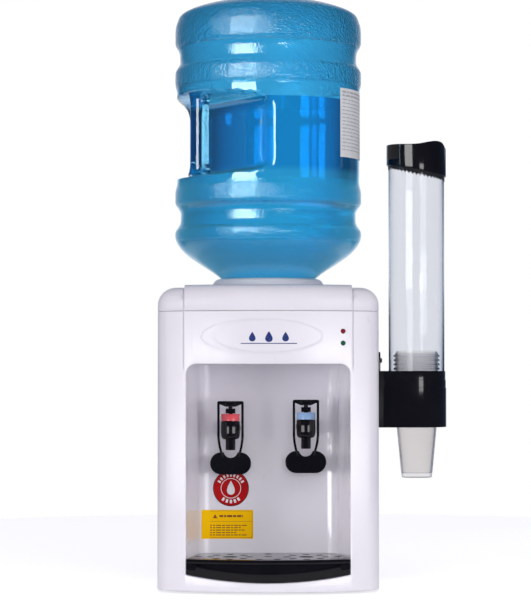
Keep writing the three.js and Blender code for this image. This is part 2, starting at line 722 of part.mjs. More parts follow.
function bottleCavity(inset) {
  const wallProfile = CAVITY_PROFILE.map(([r, z]) => [r - inset, z]);
  const profile = [[0, CAVITY_PROFILE[0][1]], ...wallProfile, [0, BOTTLE_TOP_Z - BOTTLE_WALL]];
  return turned(profile, 0, 0, BOTTLE_SIDES);
}

// The hand hold: a slot across the bottle's flank, cut back by a depth and flared at its mouth.
function handHold(grow) {
  const outline = [
    [160, 584 - grow], [112, 600 - grow], [82, 606 - grow], [67 - grow, 622 - grow],
    [67 - grow, 684 + grow], [82, 697 + grow], [112, 701 + grow], [160, 714 + grow],
  ];
  const slot = extruded(outline, 300);
  const axes = [new THREE.Vector3(1, 0, 0), new THREE.Vector3(0, 0, 1), new THREE.Vector3(0, -1, 0)];
  slot.applyMatrix4(new THREE.Matrix4().makeBasis(...axes)).translate(0, 150, 0);
  return toSolid(slot.rotateZ(HANDLE_TURN));
}

function handleBar() {
  const bar = new THREE.CylinderGeometry(1, 1, 150, 10).rotateX(Math.PI / 2).scale(15, 14, 1);
  return toSolid(bar.translate(112, 0, 650).rotateZ(HANDLE_TURN));
}

function bottleShell() {
  const skin = bottleSolid().subtract(handHold(0)).add(handleBar());
  return skin.subtract(bottleCavity(BOTTLE_WALL).subtract(handHold(BOTTLE_WALL)));
}

function bottleWater() {
  const clear = 0.5;
  const filled = prism([[-200, -200], [200, -200], [200, 200], [-200, 200]], 371.5, WATER_LEVEL);
  return bottleCavity(BOTTLE_WALL + clear).subtract(handHold(BOTTLE_WALL + clear)).intersect(filled);
}

// ---------- cup magazine ----------
function bracketScrewHoles() {
  const holes = [-22, 22].map((dy) => {
    const y = MAGAZINE_Y + dy;
    return rod(2.3, [140, y, 324], [170, y, 324], 10);
  });
  return holes[0].add(holes[1]);
}

function cupBracket() {
  const plateX = [HALF_WIDTH + GAP, HALF_WIDTH + 4.3];
  const half = 34;
  const plateOutline = [
    [MAGAZINE_Y - half, HOLDER_BASE_Z], [MAGAZINE_Y + half, HOLDER_BASE_Z],
    ...arc(MAGAZINE_Y + half - 8, 328, 8, 0, Math.PI / 2, 4),
    ...arc(MAGAZINE_Y - half + 8, 328, 8, Math.PI / 2, Math.PI, 4),
  ];
  const block = box(
    [plateX[0], MAGAZINE_Y - HOLDER_RADIUS, HOLDER_BASE_Z],
    [MAGAZINE_X, MAGAZINE_Y + HOLDER_RADIUS, HOLDER_TOP_Z],
  );
  const post = (radius, z0, z1) =>
    rod(radius, [MAGAZINE_X, MAGAZINE_Y, z0], [MAGAZINE_X, MAGAZINE_Y, z1], 24);
  const round = post(HOLDER_RADIUS, HOLDER_BASE_Z, HOLDER_TOP_Z);
  const holder = prismX(plateOutline, ...plateX).add(round).add(block);
  return holder
    .subtract(post(TUBE_RADIUS + 0.4, TUBE_SEAT_Z, HOLDER_TOP_Z + 5))
    .subtract(post(37.5, HOLDER_BASE_Z - 5, TUBE_SEAT_Z + 5))
    .subtract(bracketScrewHoles());
}

function bracketScrew() {
  return rod(2, [148, 0, 0], [160, 0, 0], 8).add(rod(4, [159.7, 0, 0], [162, 0, 0], 8, 2.6));
}

function cupTube() {
  return ring(TUBE_RADIUS - 2, TUBE_RADIUS, TUBE_SEAT_Z + GAP, TUBE_TOP_Z, MAGAZINE_X, MAGAZINE_Y, 24);
}

// The lid slips over the tube; its skirt is longer on the outer side and its top dips in the middle.
function cupLid() {
  const outer = 42.7;
  const bore = rod(TUBE_RADIUS + 0.6, [0, 0, 570], [0, 0, TUBE_TOP_Z + 0.5], 24);
  const shell = rod(outer, [0, 0, 580], [0, 0, LID_TOP_Z], 24).subtract(bore);
  const below = prismY([[-60, 560], [60, 560], [60, 581], [-outer, 603.5], [-60, 607]], -60, 60);
  const above = [
    [-60, 660], [-60, 633], [-36, 632.4], [-12, 631.4], [0, 631.8], [14, 634.4], [26, LID_TOP_Z],
    [36, 634.6], [41, 628], [60, 616], [60, 660],
  ];
  const crownCut = prismY(above, -60, 60);
  return shell.subtract(below).subtract(crownCut);
}

// Nested cups: each is a thin cone with a rolled rim.
function lowestCup() {
  const profile = [
    [0, CUP_BASE_Z], [21.5, CUP_BASE_Z], [30.5, 249], [33.5, 249.3], [33.5, CUP_RIM_Z], [30, CUP_RIM_Z],
    [21, CUP_BASE_Z + 0.8], [0, CUP_BASE_Z + 0.8],
  ];
  return turned(profile);
}

function cupStack() {
  const profile = [[0, 163], [21, 163], [29.5, 252.4], [33.5, 252.6]];
  const ridge = 30;
  for (let z = CUP_RIM_Z + ridge; z <= STACK_TOP_Z; z += ridge) {
    profile.push([32.2, z - ridge / 2], [33.5, z]);
  }
  profile.push([30, STACK_TOP_Z], [21, 250], [0, 250]);
  return turned(profile);
}

function cupRing() {
  return ring(33.9, 36.9, HOLDER_BASE_Z + 0.5, 248.6, 0, 0, 24);
}

function buildMagazine() {
  const axis = [MAGAZINE_X, MAGAZINE_Y, 0];
  add('cup_bracket', cupBracket(), BLACK_GLOSS);
  add('bracket_screw_front', bracketScrew(), STEEL, [0, MAGAZINE_Y - 22, 324]);
  add('bracket_screw_rear', bracketScrew(), STEEL, [0, MAGAZINE_Y + 22, 324]);
  add('cup_ring', cupRing(), BLACK_RUBBER, axis);
  add('cup_tube', cupTube(), CLEAR_TUBE);
  add('cup_lid', cupLid(), BLACK_GLOSS, axis);
  add('lowest_cup', lowestCup(), CUP_PLASTIC, axis);
  add('cup_stack', cupStack(), CUP_PLASTIC, axis);
}

// ---------- the whole dispenser ----------
buildCabinet();
buildElectrics();
buildInterior();
buildTaps();
add('drip_tray', dripTray(), BLACK_GLOSS);
add('drip_grille', dripGrille(), BLACK_GLOSS);
add('bottle_shell', bottleShell(), CLEAR_BLUE, [0, BOTTLE_Y, 0]);
add('bottle_water', bottleWater(), WATER_BLUE, [0, BOTTLE_Y, 0]);
buildMagazine();

// The origin is the centre of the bounding box, on the counter.
const bounds = new THREE.Box3().setFromObject(dispenser);
dispenser.position.set(-(bounds.min.x + bounds.max.x) / 2, -(bounds.min.y + bounds.max.y) / 2, 0);

export default dispenser;
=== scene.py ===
# %% [markdown]
# # A countertop water dispenser
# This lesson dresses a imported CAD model. The CAD gives every piece its size, place and joint;
# Blender gives it the surface that the eye sees: soft edges, ribs, seams and finishes.
# The first cell loads the CAD as a fixed frame and keeps the size of its box.

# %% Load the frame
import json
import math

import bmesh
import bpy
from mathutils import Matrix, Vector

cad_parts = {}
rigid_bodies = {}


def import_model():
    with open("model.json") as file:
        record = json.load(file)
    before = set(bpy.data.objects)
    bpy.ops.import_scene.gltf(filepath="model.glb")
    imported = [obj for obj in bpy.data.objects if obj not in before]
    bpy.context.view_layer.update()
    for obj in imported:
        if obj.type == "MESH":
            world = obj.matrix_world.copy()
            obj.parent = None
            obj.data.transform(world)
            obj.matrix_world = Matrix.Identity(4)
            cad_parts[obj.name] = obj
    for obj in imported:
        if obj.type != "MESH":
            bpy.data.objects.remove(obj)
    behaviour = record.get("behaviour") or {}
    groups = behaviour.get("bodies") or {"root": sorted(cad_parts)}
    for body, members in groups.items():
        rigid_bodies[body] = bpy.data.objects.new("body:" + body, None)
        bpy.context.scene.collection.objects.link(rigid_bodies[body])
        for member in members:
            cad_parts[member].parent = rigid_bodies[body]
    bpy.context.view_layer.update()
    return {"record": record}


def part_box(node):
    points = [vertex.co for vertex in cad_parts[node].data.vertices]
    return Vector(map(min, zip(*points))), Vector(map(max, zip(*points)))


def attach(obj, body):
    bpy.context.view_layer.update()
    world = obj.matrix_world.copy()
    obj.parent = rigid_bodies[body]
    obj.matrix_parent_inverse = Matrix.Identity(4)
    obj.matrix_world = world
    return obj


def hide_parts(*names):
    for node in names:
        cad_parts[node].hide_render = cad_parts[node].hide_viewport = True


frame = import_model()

# %% [markdown]
# ## A working frame in millimetres
# The cabinet was drawn about its own centre line, and that is the easiest place to think from.
# `place` turns a point in the cabinet's millimetres into the scene's metres. The cabinet's middle
# comes from the boxes of its panels, so nothing has to be fitted by eye.

# %% Cabinet frame
MM = 0.001
left_box, right_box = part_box("left_side_panel"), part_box("right_side_panel")
front_box, rear_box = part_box("front_panel"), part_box("rear_panel")
centre_x = (left_box[0][0] + right_box[1][0]) / 2
centre_y = (front_box[0][1] + rear_box[1][1]) / 2
half_width = (right_box[1][0] - left_box[0][0]) / 2 / MM
front_y = (front_box[0][1] - centre_y) / MM
rear_y = (rear_box[1][1] - centre_y) / MM
seam_z = front_box[1][2] / MM


def place(x, y, z):
    return (centre_x + x * MM, centre_y + y * MM, z * MM)


def local_box(node):
    low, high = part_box(node)
    shift = (centre_x, centre_y, 0)
    return [[(corner[k] - shift[k]) / MM for k in range(3)] for corner in (low, high)]


def middle(node, axis):
    low, high = local_box(node)
    return (low[axis] + high[axis]) / 2


print("cabinet", round(2 * half_width), "wide", round(rear_y - front_y), "deep, seam at", round(seam_z, 1))

# %% [markdown]
# ## Camera
# The view is level with the taps and looks almost straight at the front from three metres away
# with a long lens, so that upright edges stay upright. A slight upward tilt frames the bottle.

# %% Camera
camera_distance, camera_height = 3.3, 0.3075
focal_length, sensor_width = 143.61, 36
tilt, turn = math.radians(1.72302), math.radians(0.064633)

lens = bpy.data.cameras.new("studio_camera")
lens.sensor_width = sensor_width
lens.lens = focal_length
camera = bpy.data.objects.new("studio_camera", lens)
camera.location = (centre_x, centre_y + front_y * MM - camera_distance, camera_height)
camera.rotation_euler = (math.pi / 2 + tilt, 0, turn)
bpy.context.collection.objects.link(camera)
bpy.context.scene.camera = camera
print("lens", round(lens.lens, 1), "mm, tilted", round(math.degrees(tilt), 1), "degrees")

# %% [markdown]
# ## Mesh helpers
# Moulded parts are made of few shapes: outlines pulled straight, profiles turned round an axis and
# rings joined in a stack. These helpers write such meshes point by point in millimetres.

# %% Meshes from points
def sharp_edges(piece, degrees=40):
    piece.data.shade_smooth()
    piece.data.set_sharp_from_angle(angle=math.radians(degrees))


def clean(piece, merge=0.002):
    work = bmesh.new()
    work.from_mesh(piece.data)
    bmesh.ops.remove_doubles(work, verts=work.verts, dist=merge * MM)
    bmesh.ops.recalc_face_normals(work, faces=work.faces)
    work.to_mesh(piece.data)
    work.free()


def make(name, points, faces, degrees=40):
    mesh = bpy.data.meshes.new(name)
    mesh.from_pydata([place(*p) for p in points], [], faces)
    piece = bpy.data.objects.new(name, mesh)
    bpy.context.collection.objects.link(piece)
    clean(piece)
    sharp_edges(piece, degrees)
    return piece


def loft(name, rings, degrees=40):
    count = len(rings[0])
    points = [p for ring in rings for p in ring]
    faces = [tuple(range(count))[::-1], tuple(range(len(points) - count, len(points)))]
    for level in range(len(rings) - 1):
        for i in range(count):
            a, b = level * count + i, level * count + (i + 1) % count
            faces.append((a, b, b + count, a + count))
    return make(name, points, faces, degrees)


def prism(name, outline, z0, z1):
    return loft(name, [[(x, y, z) for x, y in outline] for z in (z0, z1)])


def prism_y(name, outline, y0, y1):
    return loft(name, [[(x, y, z) for x, z in outline] for y in (y0, y1)])


def prism_x(name, outline, x0, x1):
    return loft(name, [[(x, y, z) for y, z in outline] for x in (x0, x1)])


def turned(name, profile, x=0.0, y=0.0, sides=96, degrees=40):
    closed = profile[0] == profile[-1]
    rows = profile[:-1] if closed else profile
    points, row_of = [], []
    for r, z in rows:
        pole = r < 1e-6
        row_of.append((len(points), pole))
        for i in range(1 if pole else sides):
            angle = 2 * math.pi * i / sides
            points.append((x + r * math.cos(angle), y + r * math.sin(angle), z))
    faces = []
    for k in range(len(rows) if closed else len(rows) - 1):
        (a, pole_a), (b, pole_b) = row_of[k], row_of[(k + 1) % len(rows)]
        for i in range(sides):
            n = (i + 1) % sides
            ring = [a if pole_a else a + i, a if pole_a else a + n,
                    b if pole_b else b + n, b if pole_b else b + i]
            faces.append(tuple(dict.fromkeys(ring)))
    return make(name, points, faces, degrees)


quarter = math.pi / 2


def arc(x, y, radius, start, end, steps):
    angles = [start + (end - start) * i / steps for i in range(steps + 1)]
    return [(x + radius * math.cos(a), y + radius * math.sin(a)) for a in angles]


def ellipse(cx, cz, a, b, steps=72):
    turns = [2 * math.pi * i / steps for i in range(steps)]
    return [(cx + a * math.cos(t), cz + b * math.sin(t)) for t in turns]


def circle(cx, cz, radius, steps=32):
    return ellipse(cx, cz, radius, radius, steps)


def rectangle(x0, x1, y0, y1):
    return [(x0, y0), (x1, y0), (x1, y1), (x0, y1)]


def round_rectangle(x0, x1, y0, y1, radius, steps=8):
    corners = [(x1 - radius, y1 - radius, 0), (x0 + radius, y1 - radius, 1),
               (x0 + radius, y0 + radius, 2), (x1 - radius, y0 + radius, 3)]
    return [p for x, y, n in corners
            for p in arc(x, y, radius, n * quarter, (n + 1) * quarter, steps)]


def cylinder(name, radius, z0, z1, x=0.0, y=0.0, sides=96):
    return turned(name, [(0, z0), (radius, z0), (radius, z1), (0, z1)], x, y, sides)


print("mesh helpers ready")

# %% [markdown]
# ## Cutting, joining and softening
# A Boolean modifier joins or cuts two closed shapes, and a Bevel rounds what is left, as a mould
# does. Each modifier is settled into a plain mesh at once, so that the next step starts clean.

# %% Modifiers made plain
def settle(piece):
    graph = bpy.context.evaluated_depsgraph_get()
    mesh = bpy.data.meshes.new_from_object(piece.evaluated_get(graph))
    piece.modifiers.clear()
    old, piece.data = piece.data, mesh
    mesh.name = piece.name
    bpy.data.meshes.remove(old)


def combine(piece, tool, operation="DIFFERENCE"):
    step = piece.modifiers.new("combine", "BOOLEAN")
    step.operation = operation
    step.solver = "EXACT"
    step.object = tool
    settle(piece)
    bpy.data.objects.remove(tool)
    clean(piece)
    return piece


def soften(piece, width, segments=3, degrees=35):
    step = piece.modifiers.new("soften", "BEVEL")
    step.limit_method = "ANGLE"
    step.angle_limit = math.radians(degrees)
    step.width = width * MM
    step.segments = segments
    step.use_clamp_overlap = False
    step.harden_normals = False
    settle(piece)
    sharp_edges(piece, 50)
    return piece


def merge_pieces(name, pieces):
    work = bmesh.new()
    for piece in pieces:
        work.from_mesh(piece.data)
    mesh = bpy.data.meshes.new(name)
    work.to_mesh(mesh)
    work.free()
    for piece in pieces:
        bpy.data.objects.remove(piece)
    whole = bpy.data.objects.new(name, mesh)
    bpy.context.collection.objects.link(whole)
    sharp_edges(whole, 50)
    return whole


def halve(piece, axis, at, keep_above):
    work = bmesh.new()
    work.from_mesh(piece.data)
    point, normal = list(place(0, 0, 0)), [0, 0, 0]
    point[axis] = place(at, at, at)[axis]
    normal[axis] = 1
    everything = work.verts[:] + work.edges[:] + work.faces[:]
    cut = bmesh.ops.bisect_plane(work, geom=everything, plane_co=point, plane_no=normal,
                                 clear_inner=keep_above, clear_outer=not keep_above)
    edges = [e for e in cut["geom_cut"] if isinstance(e, bmesh.types.BMEdge)]
    bmesh.ops.edgeloop_fill(work, edges=edges)
    bmesh.ops.recalc_face_normals(work, faces=work.faces)
    work.to_mesh(piece.data)
    work.free()
    return piece


print("cutting helpers ready")

# %% [markdown]
# ## Shader groups shared by the finishes
# Moulded plastic is never one colour: it has a faint mottle, a changing polish and an orange-peel
# surface. One node group makes those three from noise on the object's own coordinates, and each
# material sets its own amounts.

# %% Node helpers and the moulded group
def socket(tree, name, kind, inward=True, value=None):
    made = tree.interface.new_socket(name=name, in_out="INPUT" if inward else "OUTPUT", socket_type=kind)
    if value is not None:
        made.default_value = value
    return made


def node(tree, kind, settings=None, **inputs):
    made = tree.nodes.new(kind)
    for key, value in (settings or {}).items():
        setattr(made, key, value)
    for key, value in inputs.items():
        numbered = key[0] == "i" and key[1:].isdigit()
        target = made.inputs[int(key[1:]) if numbered else key.replace("_", " ")]
        if isinstance(value, bpy.types.NodeSocket):
            tree.links.new(value, target)
        else:
            target.default_value = value
    return made


def maths(tree, operation, a, b):
    return node(tree, "ShaderNodeMath", {"operation": operation}, i0=a, i1=b).outputs[0]


def noise(tree, vector, scale, detail=3.0, rough=0.5):
    made = node(tree, "ShaderNodeTexNoise", Vector=vector, Scale=scale, Detail=detail, Roughness=rough)
    return made.outputs["Fac"]


def spread(tree, value, low, high, start=0.3, end=0.7):
    inputs = {"Value": value, "i1": start, "i2": end, "i3": low, "i4": high}
    return node(tree, "ShaderNodeMapRange", **inputs).outputs["Result"]


def mixed(tree, factor, a, b):
    made = node(tree, "ShaderNodeMix", {"data_type": "RGBA"}, i0=factor, i6=a, i7=b)
    return made.outputs[2]


def moulded_group():
    tree = bpy.data.node_groups.new("moulded_surface", "ShaderNodeTree")
    colour_kind, number_kind = "NodeSocketColor", "NodeSocketFloat"
    for name, kind, value in (("Colour", colour_kind, (0.8, 0.8, 0.8, 1)),
                              ("Shade", colour_kind, (0.7, 0.7, 0.7, 1)),
                              ("Polish", number_kind, 0.15), ("Dullness", number_kind, 0.3),
                              ("Mottle scale", number_kind, 14.0), ("Grain scale", number_kind, 900.0)):
        socket(tree, name, kind, True, value)
    for name, kind in (("Colour", colour_kind), ("Roughness", number_kind), ("Height", number_kind)):
        socket(tree, name, kind, False)
    given = tree.nodes.new("NodeGroupInput")
    result = tree.nodes.new("NodeGroupOutput")
    where = node(tree, "ShaderNodeTexCoord").outputs["Object"]
    cloud = noise(tree, where, given.outputs["Mottle scale"], 4.0)
    speck = noise(tree, where, given.outputs["Grain scale"], 2.0, 0.6)
    smear = noise(tree, where, 46.0, 5.0, 0.65)
    colour = mixed(tree, spread(tree, cloud, 0.0, 1.0), given.outputs["Colour"], given.outputs["Shade"])
    rough = spread(tree, smear, given.outputs["Polish"], given.outputs["Dullness"])
    height = maths(tree, "ADD", speck, maths(tree, "MULTIPLY", smear, 0.6))
    for n, made in enumerate((colour, rough, height)):
        tree.links.new(made, result.inputs[n])
    return tree


moulded = moulded_group()
print("group:", moulded.name, [s.name for s in moulded.interface.items_tree])

# %% [markdown]
# ## Plastics, rubber and print
# `moulded_material` places the group in front of a Principled shader. Coat, specular level and the
# like stay on the shader's own sockets. The white shell is a satin ABS, with a polished variant for
# the niche's right side that is also painted lighter than the shell: painted light that makes up for
# the shade inside the niche. The black parts are the same plastic with a harder polish.

# %% Moulded materials
def new_material(name):
    made = bpy.data.materials.new(name)
    made.use_nodes = True
    return made, made.node_tree, made.node_tree.nodes["Principled BSDF"]


relief_depth, coat_roughness = 0.00004, 0.06


def moulded_material(name, colour, shade, polish, dullness, bump=0.04, grain=900.0, coat=0.0,
                     mottle=14.0, specular=0.5):
    made, tree, shader = new_material(name)
    surface = tree.nodes.new("ShaderNodeGroup")
    surface.node_tree = moulded
    values = {"Colour": (*colour, 1), "Shade": (*shade, 1), "Polish": polish, "Dullness": dullness,
              "Mottle scale": mottle, "Grain scale": grain}
    for key, value in values.items():
        surface.inputs[key].default_value = value
    relief = node(tree, "ShaderNodeBump", Strength=bump, Distance=relief_depth, Height=surface.outputs["Height"])
    tree.links.new(surface.outputs["Colour"], shader.inputs["Base Color"])
    tree.links.new(surface.outputs["Roughness"], shader.inputs["Roughness"])
    tree.links.new(relief.outputs["Normal"], shader.inputs["Normal"])
    shader.inputs["Coat Weight"].default_value = coat
    shader.inputs["Coat Roughness"].default_value = coat_roughness
    shader.inputs["Specular IOR Level"].default_value = specular
    return made


# name: colour, shade, polish, dullness and whatever differs from the usual grain and coat
moulded_finishes = {
    "white_shell": ((0.78, 0.755, 0.82), (0.75, 0.725, 0.79), 0.27, 0.34, {"coat": 0.05}),
    # the niche's white is painted lighter than the shell's, as painted light against the shade in the niche; its
    # polish is real
    "white_niche": ((0.84, 0.815, 0.88), (0.81, 0.785, 0.85), 0.06, 0.10, {"coat": 0.6}),
    "black_gloss": ((0.004, 0.0035, 0.005), (0.007, 0.006, 0.008), 0.06, 0.12, {"specular": 0.30}),
    "black_satin": ((0.014, 0.014, 0.015), (0.022, 0.022, 0.023), 0.32, 0.46, {"bump": 0.15}),
    "rubber": ((0.022, 0.022, 0.023), (0.035, 0.034, 0.034), 0.62, 0.8, {"bump": 0.3, "grain": 400.0}),
    "hot_red": ((0.80, 0.10, 0.12), (0.70, 0.07, 0.09), 0.14, 0.24, {"coat": 0.3}),
    "cold_blue": ((0.30, 0.47, 0.74), (0.25, 0.41, 0.68), 0.14, 0.24, {"coat": 0.3}),
    "lamp_red": ((0.26, 0.02, 0.035), (0.16, 0.01, 0.02), 0.05, 0.12, {"coat": 0.6}),
    "lamp_green": ((0.01, 0.08, 0.035), (0.02, 0.12, 0.05), 0.05, 0.12, {"coat": 0.6}),
    "silicone": ((0.82, 0.82, 0.80), (0.70, 0.70, 0.68), 0.35, 0.5, {"bump": 0.1}),
    "ceramic": ((0.86, 0.84, 0.80), (0.78, 0.76, 0.72), 0.3, 0.5, {"bump": 0.1}),
    "print_white": ((0.85, 0.84, 0.86), (0.78, 0.77, 0.80), 0.3, 0.4, {}),
    "print_grey": ((0.35, 0.36, 0.38), (0.45, 0.46, 0.48), 0.4, 0.5, {}),
    "print_brown": ((0.30, 0.07, 0.01), (0.24, 0.05, 0.01), 0.3, 0.4, {}),
    "mark_blue": ((0.02, 0.035, 0.16), (0.03, 0.05, 0.20), 0.2, 0.3, {}),
    "label_paper": ((0.74, 0.75, 0.77), (0.66, 0.67, 0.69), 0.45, 0.6, {"mottle": 60.0}),
    "label_yellow": ((1.0, 0.60, 0.004), (0.98, 0.54, 0.003), 0.3, 0.4, {"specular": 0.05}),
    "label_red": ((0.40, 0.003, 0.004), (0.62, 0.006, 0.006), 0.16, 0.26, {"mottle": 30.0, "specular": 0.25}),
    "label_rim": ((0.12, 0.004, 0.006), (0.08, 0.004, 0.005), 0.2, 0.3, {"coat": 0.2}),
}
finish = {}
for name, (colour, shade, polish, dullness, more) in moulded_finishes.items():
    finish[name] = moulded_material(name, colour, shade, polish, dullness, **more)
print(len(finish), "moulded finishes")

# %% [markdown]
# ## Clear plastics and water
# The bottle is tinted polycarbonate with pebbled ribs; the water inside deepens its blue. Both are
# full transmission with the tint in the base colour, so light that crosses more walls comes out
# deeper. The pebble is a Voronoi bump, let through only where the mesh's own mask says so. A second
# mask, the painted reflection, is strongest low on the bottle: it paints a pale reflection of the
# surroundings there, dulling the tint and adding a faint blue glow, both painted light.

# %% Clear materials
pebble_cell, pebble_blur = 360.0, 0.06
# painted light: the glow colour and the paler tint that paint the reflection of bright surroundings low on the
# bottle
painted_glow, painted_reflection_tint = (0.012, 0.055, 0.080, 1), (0.20, 0.585, 0.70, 1)


def clear_material(name, tint, deep, rough, ior, bump, pebble=0.0, coat=0.0):
    made, tree, shader = new_material(name)
    where = node(tree, "ShaderNodeTexCoord").outputs["Object"]
    cloud = spread(tree, noise(tree, where, 9.0, 4.0), 0.0, 1.0)
    tone = mixed(tree, cloud, (*tint, 1), (*deep, 1))
    smear = noise(tree, where, 30.0, 5.0)
    base_rough = spread(tree, smear, rough, rough * 2.2)
    height = maths(tree, "MULTIPLY", noise(tree, where, 24.0, 4.0), 0.5)
    if pebble:
        mask = node(tree, "ShaderNodeAttribute", {"attribute_name": "pebble"}).outputs["Fac"]
        cells = node(tree, "ShaderNodeTexVoronoi", {"feature": "SMOOTH_F1"}, Vector=where,
                     Scale=pebble_cell, Smoothness=0.6)
        grain = maths(tree, "MULTIPLY", cells.outputs["Distance"], mask)
        height = maths(tree, "ADD", height, maths(tree, "MULTIPLY", grain, pebble))
        base_rough = maths(tree, "ADD", base_rough, maths(tree, "MULTIPLY", mask, pebble_blur))
        # painted reflection: this mask pales the tint and adds a glow as emission, painted light low on the
        # bottle
        haze = node(tree, "ShaderNodeAttribute", {"attribute_name": "haze"}).outputs["Fac"]
        glow = mixed(tree, haze, (0, 0, 0, 1), painted_glow)
        tone = mixed(tree, haze, tone, painted_reflection_tint)
        tree.links.new(glow, shader.inputs["Emission Color"])
        shader.inputs["Emission Strength"].default_value = 1.0
    tree.links.new(tone, shader.inputs["Base Color"])
    tree.links.new(base_rough, shader.inputs["Roughness"])
    relief = node(tree, "ShaderNodeBump", Strength=bump, Distance=0.001, Height=height)
    tree.links.new(relief.outputs["Normal"], shader.inputs["Normal"])
    shader.inputs["Transmission Weight"].default_value = 1.0
    shader.inputs["IOR"].default_value = ior
    shader.inputs["Coat Weight"].default_value = coat
    return made


for name, *values, more in (
        ("bottle_blue", (0.18, 0.58, 0.82), (0.20, 0.60, 0.84), 0.02, 1.45, 0.3,
         {"pebble": 4.5, "coat": 0.25}),
        ("water", (0.04, 0.62, 0.88), (0.06, 0.66, 0.90), 0.01, 1.33, 0.05, {}),
        ("clear_tube", (0.87, 0.885, 0.91), (0.89, 0.90, 0.92), 0.02, 1.25, 0.05, {}),
        ("cup_plastic", (0.93, 0.92, 0.915), (0.90, 0.89, 0.885), 0.10, 1.18, 0.15, {})):
    finish[name] = clear_material(name, *values, **more)
print("clear finishes ready")

# %% [markdown]
# ## Metals, foam and circuit board
# Hidden parts are dressed too, because the panels can be opened in a reader's mind. Brushed steel
# is noise stretched along the brushing; foam is cells; a board is green varnish with mottled copper.

# %% Inner finishes
def stretched(tree, along):
    where = node(tree, "ShaderNodeTexCoord").outputs["Object"]
    return node(tree, "ShaderNodeMapping", Vector=where, Scale=along).outputs["Vector"]


def metal_material(name, light, dark, rough, along):
    made, tree, shader = new_material(name)
    streak = noise(tree, stretched(tree, along), 60.0, 5.0, 0.6)
    tone = mixed(tree, spread(tree, streak, 0.0, 1.0), (*light, 1), (*dark, 1))
    tree.links.new(tone, shader.inputs["Base Color"])
    tree.links.new(spread(tree, streak, rough * 0.8, rough * 1.5), shader.inputs["Roughness"])
    relief = node(tree, "ShaderNodeBump", Strength=0.12, Distance=0.0001, Height=streak)
    tree.links.new(relief.outputs["Normal"], shader.inputs["Normal"])
    shader.inputs["Metallic"].default_value = 1.0
    return made


def cellular_material(name, light, dark, scale, rough):
    made, tree, shader = new_material(name)
    where = node(tree, "ShaderNodeTexCoord").outputs["Object"]
    cells = node(tree, "ShaderNodeTexVoronoi", Vector=where, Scale=scale).outputs["Distance"]
    tone = mixed(tree, spread(tree, cells, 0.0, 1.0, 0.0, 0.8), (*light, 1), (*dark, 1))
    tree.links.new(tone, shader.inputs["Base Color"])
    tree.links.new(spread(tree, cells, rough, rough + 0.1, 0.0, 0.8), shader.inputs["Roughness"])
    relief = node(tree, "ShaderNodeBump", Strength=0.4, Distance=0.0004, Height=cells)
    tree.links.new(relief.outputs["Normal"], shader.inputs["Normal"])
    return made


finish["steel"] = metal_material("steel", (0.62, 0.62, 0.64), (0.50, 0.50, 0.52), 0.28, (1, 1, 30))
finish["aluminium"] = metal_material("aluminium", (0.72, 0.72, 0.74), (0.60, 0.60, 0.62), 0.34, (20, 1, 1))
finish["foam"] = cellular_material("foam", (0.72, 0.66, 0.50), (0.52, 0.46, 0.32), 220.0, 0.85)
finish["circuit_board"] = cellular_material("circuit_board", (0.02, 0.16, 0.06), (0.05, 0.24, 0.09),
                                            160.0, 0.35)
for part in frame["record"]["subparts"]:
    obj = bpy.data.objects[part["node"]]
    obj.data.materials.clear()
    obj.data.materials.append(finish[part["material_slot"]])

# %% [markdown]
# ## Finishing a piece
# `wear` gives a finished piece its material and its body, and hides the CAD nodes
# that it stands for.

# %% Finishing helper
def wear(piece, material, body, slot, *nodes):
    piece.data.materials.clear()
    piece.data.materials.append(finish[material])
    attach(piece, body)
    if nodes:
        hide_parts(*nodes)
    print(piece.name, len(piece.data.polygons), "faces on", body)
    return piece


# %% [markdown]
# ## The cabinet's outline
# Seen from above, the cabinet is a bowed front between round corners. Everything white follows it,
# so it is written once, with an inset for walls and rounded tops.

# %% Cabinet outline
front_radius, corner_radius, wall = 300.0, 28.0, 3.0
side_front_y = local_box("left_side_panel")[0][1]


def cabinet_plan(inset, front_steps=64, corner_steps=14):
    corner_x = half_width - corner_radius
    front_centre = front_y + front_radius
    reach = math.sqrt((front_radius - corner_radius) ** 2 - corner_x ** 2)
    bend = math.atan2(-reach, corner_x)
    corner = corner_radius - inset
    near, far = front_centre - reach, rear_y - corner_radius
    return (arc(0, front_centre, front_radius - inset, -math.pi - bend, bend, front_steps)
            + arc(corner_x, near, corner, bend, 0, corner_steps)[1:]
            + arc(corner_x, far, corner, 0, quarter, corner_steps)
            + arc(-corner_x, far, corner, quarter, math.pi, corner_steps)
            + arc(-corner_x, near, corner, math.pi, math.pi - bend, corner_steps)[:-1])


def block(name, inset, z0, z1):
    return prism(name, cabinet_plan(inset), z0, z1)


def shell_ring(name, y_low, y_high, z0, z1):
    body = combine(block(name, 0, z0, z1), block("core", wall, z0 - 5, z1 + 5))
    keep = prism("keep", rectangle(-300, 300, y_low, y_high), z0 - 9, z1 + 9)
    return combine(body, keep, "INTERSECT")


print("outline points:", len(cabinet_plan(0)))

# %% [markdown]
# ## The niche
# The niche is the space where the outline seen from above and the one seen from the front overlap:
# walls that close in towards a filleted back, round upper corners and a sill that dips in the middle.

# %% Niche shape
mouth_half, mouth_top, mouth_corner = 114.0, 318.5, 14.0
niche_back_y, niche_back_half, niche_fillet, niche_taper = -15.0, 100.0, 18.0, 0.136
sill_mid, sill_end = 16.9, 27.0


def niche_plan(grow):
    near = niche_back_half + niche_taper * 150 + grow
    side, fillet = niche_back_half + grow, niche_fillet + grow
    centre = niche_back_y - niche_fillet
    return ([(-near, niche_back_y - 160), (near, niche_back_y - 160)]
            + arc(side - fillet, centre, fillet, 0, quarter, 12)
            + arc(fillet - side, centre, fillet, quarter, math.pi, 12))


def sill_z(x, grow=0.0):
    return sill_mid - grow + (sill_end - sill_mid) * (x / (mouth_half + grow)) ** 2


